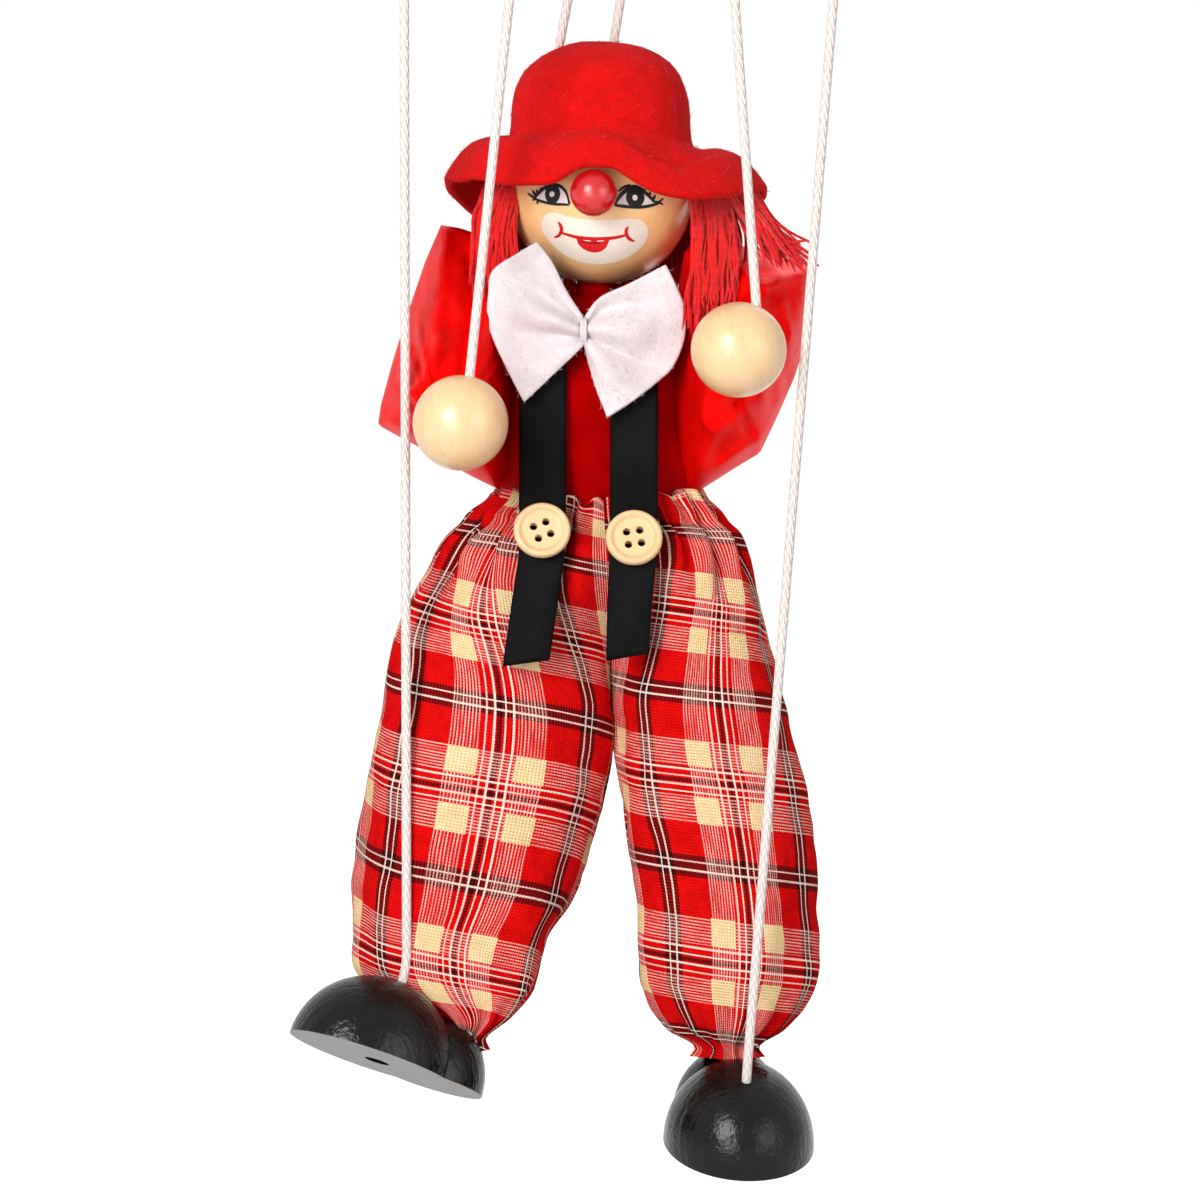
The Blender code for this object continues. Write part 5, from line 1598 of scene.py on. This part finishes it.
# %% Suspenders
RIBBON_CUT, RIBBON_THICK, RIBBON_LIFT = 0.0125, 0.0004, 0.0017
RIBBON_ROWS, RIBBON_HALF = 110, 6
NEAR = 0.0008
for side, sign in SIDES.items():
    path = [Vector((y, z)) for y, z in line]
    table = [(0.0, *path[0])]
    for a, b in zip(path, path[1:]):
        table.append((table[-1][0] + (b - a).length, *b))
    rows = []
    for k in range(RIBBON_ROWS + 1):
        run = table[-1][0] * k / RIBBON_ROWS
        y, z = smooth(table, run)
        y2, z2 = smooth(table, min(run + NEAR, table[-1][0]))
        y1, z1 = smooth(table, max(run - NEAR, 0.0))
        way = Vector((y2 - y1, z2 - z1)).normalized()
        out = Vector((way.y, -way.x))
        depth = HEAD.y + y + out.x * RIBBON_LIFT
        height = z + out.y * RIBBON_LIFT
        py = pixel_of(0, depth, height)[1]
        if py > RIBBON_END[side] + 4:
            break
        middle, width = smooth(RIBBON_X[side], py if y < 0 else 0)
        row = []
        for i in range(2 * RIBBON_HALF + 1):
            a = i / RIBBON_HALF - 1
            x = at(middle + a * width / 2, py, depth).x
            tail = step(560, 600, py) if y < 0 else 0.0
            ripple = (0.0004 + 0.0006 * tail) * rough((a * 0.006, run, sign), 0.012, 31.0)
            cup = 0.0009 * a * a * tail - 0.0003 * (1 - a * a) * (1 - tail)
            row.append(Vector((x, depth + out.x * (ripple - cup), height + out.y * (ripple - cup))))
        rows.append(row)
    for i, p in enumerate(rows[-1]):
        p.z += (i / RIBBON_HALF - 1) * CUT_SLOPE[side] * PIXEL
    ribbon = grid("ribbon_" + side, rows, RIBBON, closed=False, wide=RIBBON_CUT)
    modify(ribbon, "SOLIDIFY", thickness=RIBBON_THICK, offset=0.0)
    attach(ribbon, "torso")
    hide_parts("suspender_" + side)
    tell(ribbon)

# %% [markdown]
# ## Buttons
#
# Wooden four-hole buttons of 15 mm. They could be cylinders with bevels, but a turned button has a rounded rim and a
# dished middle. So a profile of (radius, height) is spun round, as on a lathe, and four holes are cut through. Each
# lies where its solid lies, square to the ribbon, and is turned as the photograph shows its holes.

# %% Buttons
BUTTON_ON_LINE = -4
BUTTON_TURN = {"right": 22, "left": 8}
BUTTON_COLUMNS, BUTTON_MIDDLE = 64, 0.0017
HOLE_OFF, HOLE_RADIUS, HOLE_REACH = 0.00175, 0.00105, 0.004
PROFILE = [(0.0, 0.0), (0.0060, 0.0), (0.0070, 0.0004), (0.0075, 0.0014), (0.0075, 0.0024), (0.0072, 0.0031),
           (0.0066, 0.0034), (0.0060, 0.0032), (0.0056, 0.0027), (0.0052, 0.0024), (0.0044, 0.0023), (0.0, 0.0022)]
above, below = line[BUTTON_ON_LINE - 1], line[BUTTON_ON_LINE + 1]
way = Vector((0, above[0] - below[0], above[1] - below[1])).normalized()
for side in SIDES:
    low, high = (Vector(c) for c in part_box("button_" + side))
    centre = (low + high) / 2
    normal = Vector((0, -abs(way.z), way.y)).normalized()
    slope = normal.cross(Vector((1, 0, 0))).normalized()
    tilt = math.radians(BUTTON_TURN[side])
    one = Vector((1, 0, 0)) * math.cos(tilt) + slope * math.sin(tilt)
    two = normal.cross(one)
    rows = []
    for r, h in round_off(PROFILE, 3)[:-3]:
        row = []
        for i in range(BUTTON_COLUMNS):
            turn = 2 * math.pi * i / BUTTON_COLUMNS
            row.append(centre + normal * (h - BUTTON_MIDDLE)
                       + (one * math.cos(turn) + two * math.sin(turn)) * max(r, 0.00005))
        rows.append(row)
    button = grid("wood_button_" + side, rows, BUTTON_WOOD, cap=True)
    for i in (-1, 1):
        for j in (-1, 1):
            hole = centre + (one * i + two * j) * HOLE_OFF
            cut(button, rod(hole - normal * HOLE_REACH, hole + normal * HOLE_REACH, HOLE_RADIUS, 20))
    sharp(button, 40)
    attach(button, "torso")
    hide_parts("button_" + side)
    tell(button)

# %% [markdown]
# ## Shoes
#
# Each shoe is two turned domes on one flat sole: a large one for the toe, with the string's hole through its top, and a
# smaller one for the heel, which the shin stands in. A maker would saw two balls in half and glue them. Here two
# stretched balls are joined by a Boolean, cut by a plane and capped, so that the domes meet in a clean line.
# SHOES has the heel's place from the head, the way to the toe and the way up from the sole.

# %% Shoes
TOE_SIZE, HEEL_SIZE = (0.023, 0.020, 0.022), (0.015, 0.015, 0.018)
TOE_AHEAD = 0.018
STRING_HOLE, KNOT_HOLE, KNOT_DEPTH = 0.0016, 0.0034, 0.0058
SHOES = {"left": (Vector((0.0341, -0.0060, -0.2480)), Vector((0.130, -0.930, -0.342)), Vector((0.047, -0.339, 0.940))),
         "right": (Vector((-0.0461, -0.0180, -0.2383)), Vector((-0.835, -0.410, 0.367)), Vector((0.290, 0.230, 0.920)))}
HOLE_FORWARD = {"left": 0.0060, "right": -0.0020}


def dome(name, middle, axes, sizes, segments, rings):
    turn = Matrix([axis * size for axis, size in zip(axes, sizes)]).transposed().to_4x4()
    return ball(name, middle, 1.0, SHOE_BLACK, segments, rings, turn)


for side in SIDES:
    heel, forward, rise = SHOES[side]
    heel = HEAD + heel
    forward = forward.normalized()
    rise = (rise - forward * rise.dot(forward)).normalized()
    sideways = rise.cross(forward)
    axes = (forward, sideways, rise)
    toe = heel + forward * TOE_AHEAD
    hole = toe + forward * HOLE_FORWARD[side]
    shoe = dome("shoe_paint_" + side, toe, axes, TOE_SIZE, 72, 47)
    cut(shoe, dome("heel", heel, axes, HEEL_SIZE, 56, 37), "UNION")
    work = bmesh.new()
    work.from_mesh(shoe.data)
    cut_edges = bmesh.ops.bisect_plane(work, geom=work.verts[:] + work.edges[:] + work.faces[:], plane_co=toe,
                                       plane_no=-rise, clear_outer=True)["geom_cut"]
    rim = [e for e in cut_edges if isinstance(e, bmesh.types.BMEdge)]
    bmesh.ops.contextual_create(work, geom=rim)
    bmesh.ops.recalc_face_normals(work, faces=work.faces)
    work.to_mesh(shoe.data)
    work.free()
    cut(shoe, rod(hole - rise * 0.002, hole + rise * 0.026, STRING_HOLE, 24))
    cut(shoe, rod(hole - rise * 0.002, hole + rise * KNOT_DEPTH, KNOT_HOLE, 32))
    sharp(shoe, 35)
    shoe.data.materials.append(SOLE_GREY_AND_REFLECTION)
    for face in shoe.data.polygons:
        if face.normal.dot(rise) < -0.98:
            face.material_index = 1
    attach(shoe, "shin_" + side)
    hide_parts("shoe_" + side)
    tell(shoe)

# %% [markdown]
# ## Solids that show as they are
#
# The control's bars and screw, the dowels and the inner cords are plain shapes, or hidden by cloth. They could be built
# again, but their solids are good enough, so these stay and take the materials above.

# %% Solids
LOOKS = {"control_main_bar": BEECH, "control_cross_bar": CROSS_BEECH, "control_screw": STEEL, "nose_peg": DOWEL,
         "torso_block": DOWEL, "waist_elastic": SHADED_SHIRT_SATIN, "neck_cord": CORD_WHITE}
for side in SIDES:
    LOOKS.update({"forearm_" + side: DOWEL, "shin_" + side: DOWEL, "arm_cord_" + side: CORD_WHITE,
                  "thigh_cord_" + side: CORD_WHITE})
for name, look in LOOKS.items():
    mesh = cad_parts[name].data
    mesh.materials.clear()
    mesh.materials.append(look)
print("solids kept:", ", ".join(LOOKS))

# %% [markdown]
# ## Floor
#
# The photograph has a plain white ground. A bright floor would light the doll from below, so the floor is pale grey for
# light that it scatters, and glows only for the rays that show it: those of the camera and of reflections. It lies just
# below the lower shoe.

# %% Floor
FLOOR_GAP = 0.004


def seen_rays(tree):
    """1 for the rays that show the background: those of the camera, of a reflection and through glass."""
    node = tree.nodes.new("ShaderNodeLightPath")
    rays = [Wire(tree, node.outputs["Is %s Ray" % kind]) for kind in ("Camera", "Glossy", "Transmission")]
    return rays[0].high(rays[1]).high(rays[2])


floor_mesh = bpy.data.meshes.new("floor")
low = cad_box[0][2] - FLOOR_GAP
floor_mesh.from_pydata([(-4, -3, low), (4, -3, low), (4, 5, low), (-4, 5, low)], [], [(0, 1, 2, 3)])
FLOOR, place, uv = material("pale_floor", Roughness=0.9, Base_Color=rgb(206, 206, 206), Emission_Color=(1, 1, 1, 1))
seen = seen_rays(FLOOR.node_tree)
x, y, z = place.parts()
far = ((x * x + y * y).math("SQRT")).spread(0.15, 0.9, 0.87, 1.0)
feed(FLOOR, Emission_Strength=seen * far)
floor = add("floor", floor_mesh, FLOOR)
print("the floor lies at z = %.4f m" % low)

# %% [markdown]
# ## Light
#
# The photograph's light is soft, and brightest from the upper left. A broad disc is the key light, a wider one on the
# right fills the shade, a weak low one reaches the face under the brim, and one behind lights the edges. Sharper lamps
# would draw hard shadows, which the photograph doesn't have.

# %% Light


def light(name, place, target, size, power):
    lamp = bpy.data.lights.new(name, "AREA")
    lamp.shape = "DISK"
    lamp.size = size
    lamp.energy = power
    obj = bpy.data.objects.new(name, lamp)
    obj.location = place
    obj.rotation_euler = (Vector(target) - Vector(place)).to_track_quat("-Z", "Y").to_euler()
    bpy.context.scene.collection.objects.link(obj)
    print("%s light: %.1f m wide, %.1f W" % (name, size, power))


light("key", (-0.55, -1.05, 0.2), (0, 0, -0.2), size=0.6, power=11.5)
light("fill", (0.9, -0.9, -0.05), (0, 0, -0.2), size=0.9, power=4.5)
light("low", (-0.42, -1.1, -0.34), (0, 0, -0.12), size=0.5, power=4)
light("back", (0.2, 0.9, 0.5), (0, 0, -0.2), size=0.8, power=2)

# %% [markdown]
# ## Background
#
# The background is white where it is seen, by the camera or in a reflection, but lights the doll with less than a third
# of that: a full white all round would wash out the folds. The Standard view leaves colours as they were set.

# %% Background
SKY_LIGHT = 0.3
world = bpy.data.worlds.new("studio")
bpy.context.scene.world = world
world.use_nodes = True
tree = world.node_tree
sky = tree.nodes["Background"]
sky.inputs["Color"].default_value = (1, 1, 1, 1)
tree.links.new(seen_rays(tree).spread(0, 1, SKY_LIGHT, 1.0).socket, sky.inputs["Strength"])
bpy.context.scene.view_settings.view_transform = "Standard"
print("the sky gives", SKY_LIGHT, "of what is seen of it")

# %% [markdown] ## Finish
# Dressing must not make the object larger.
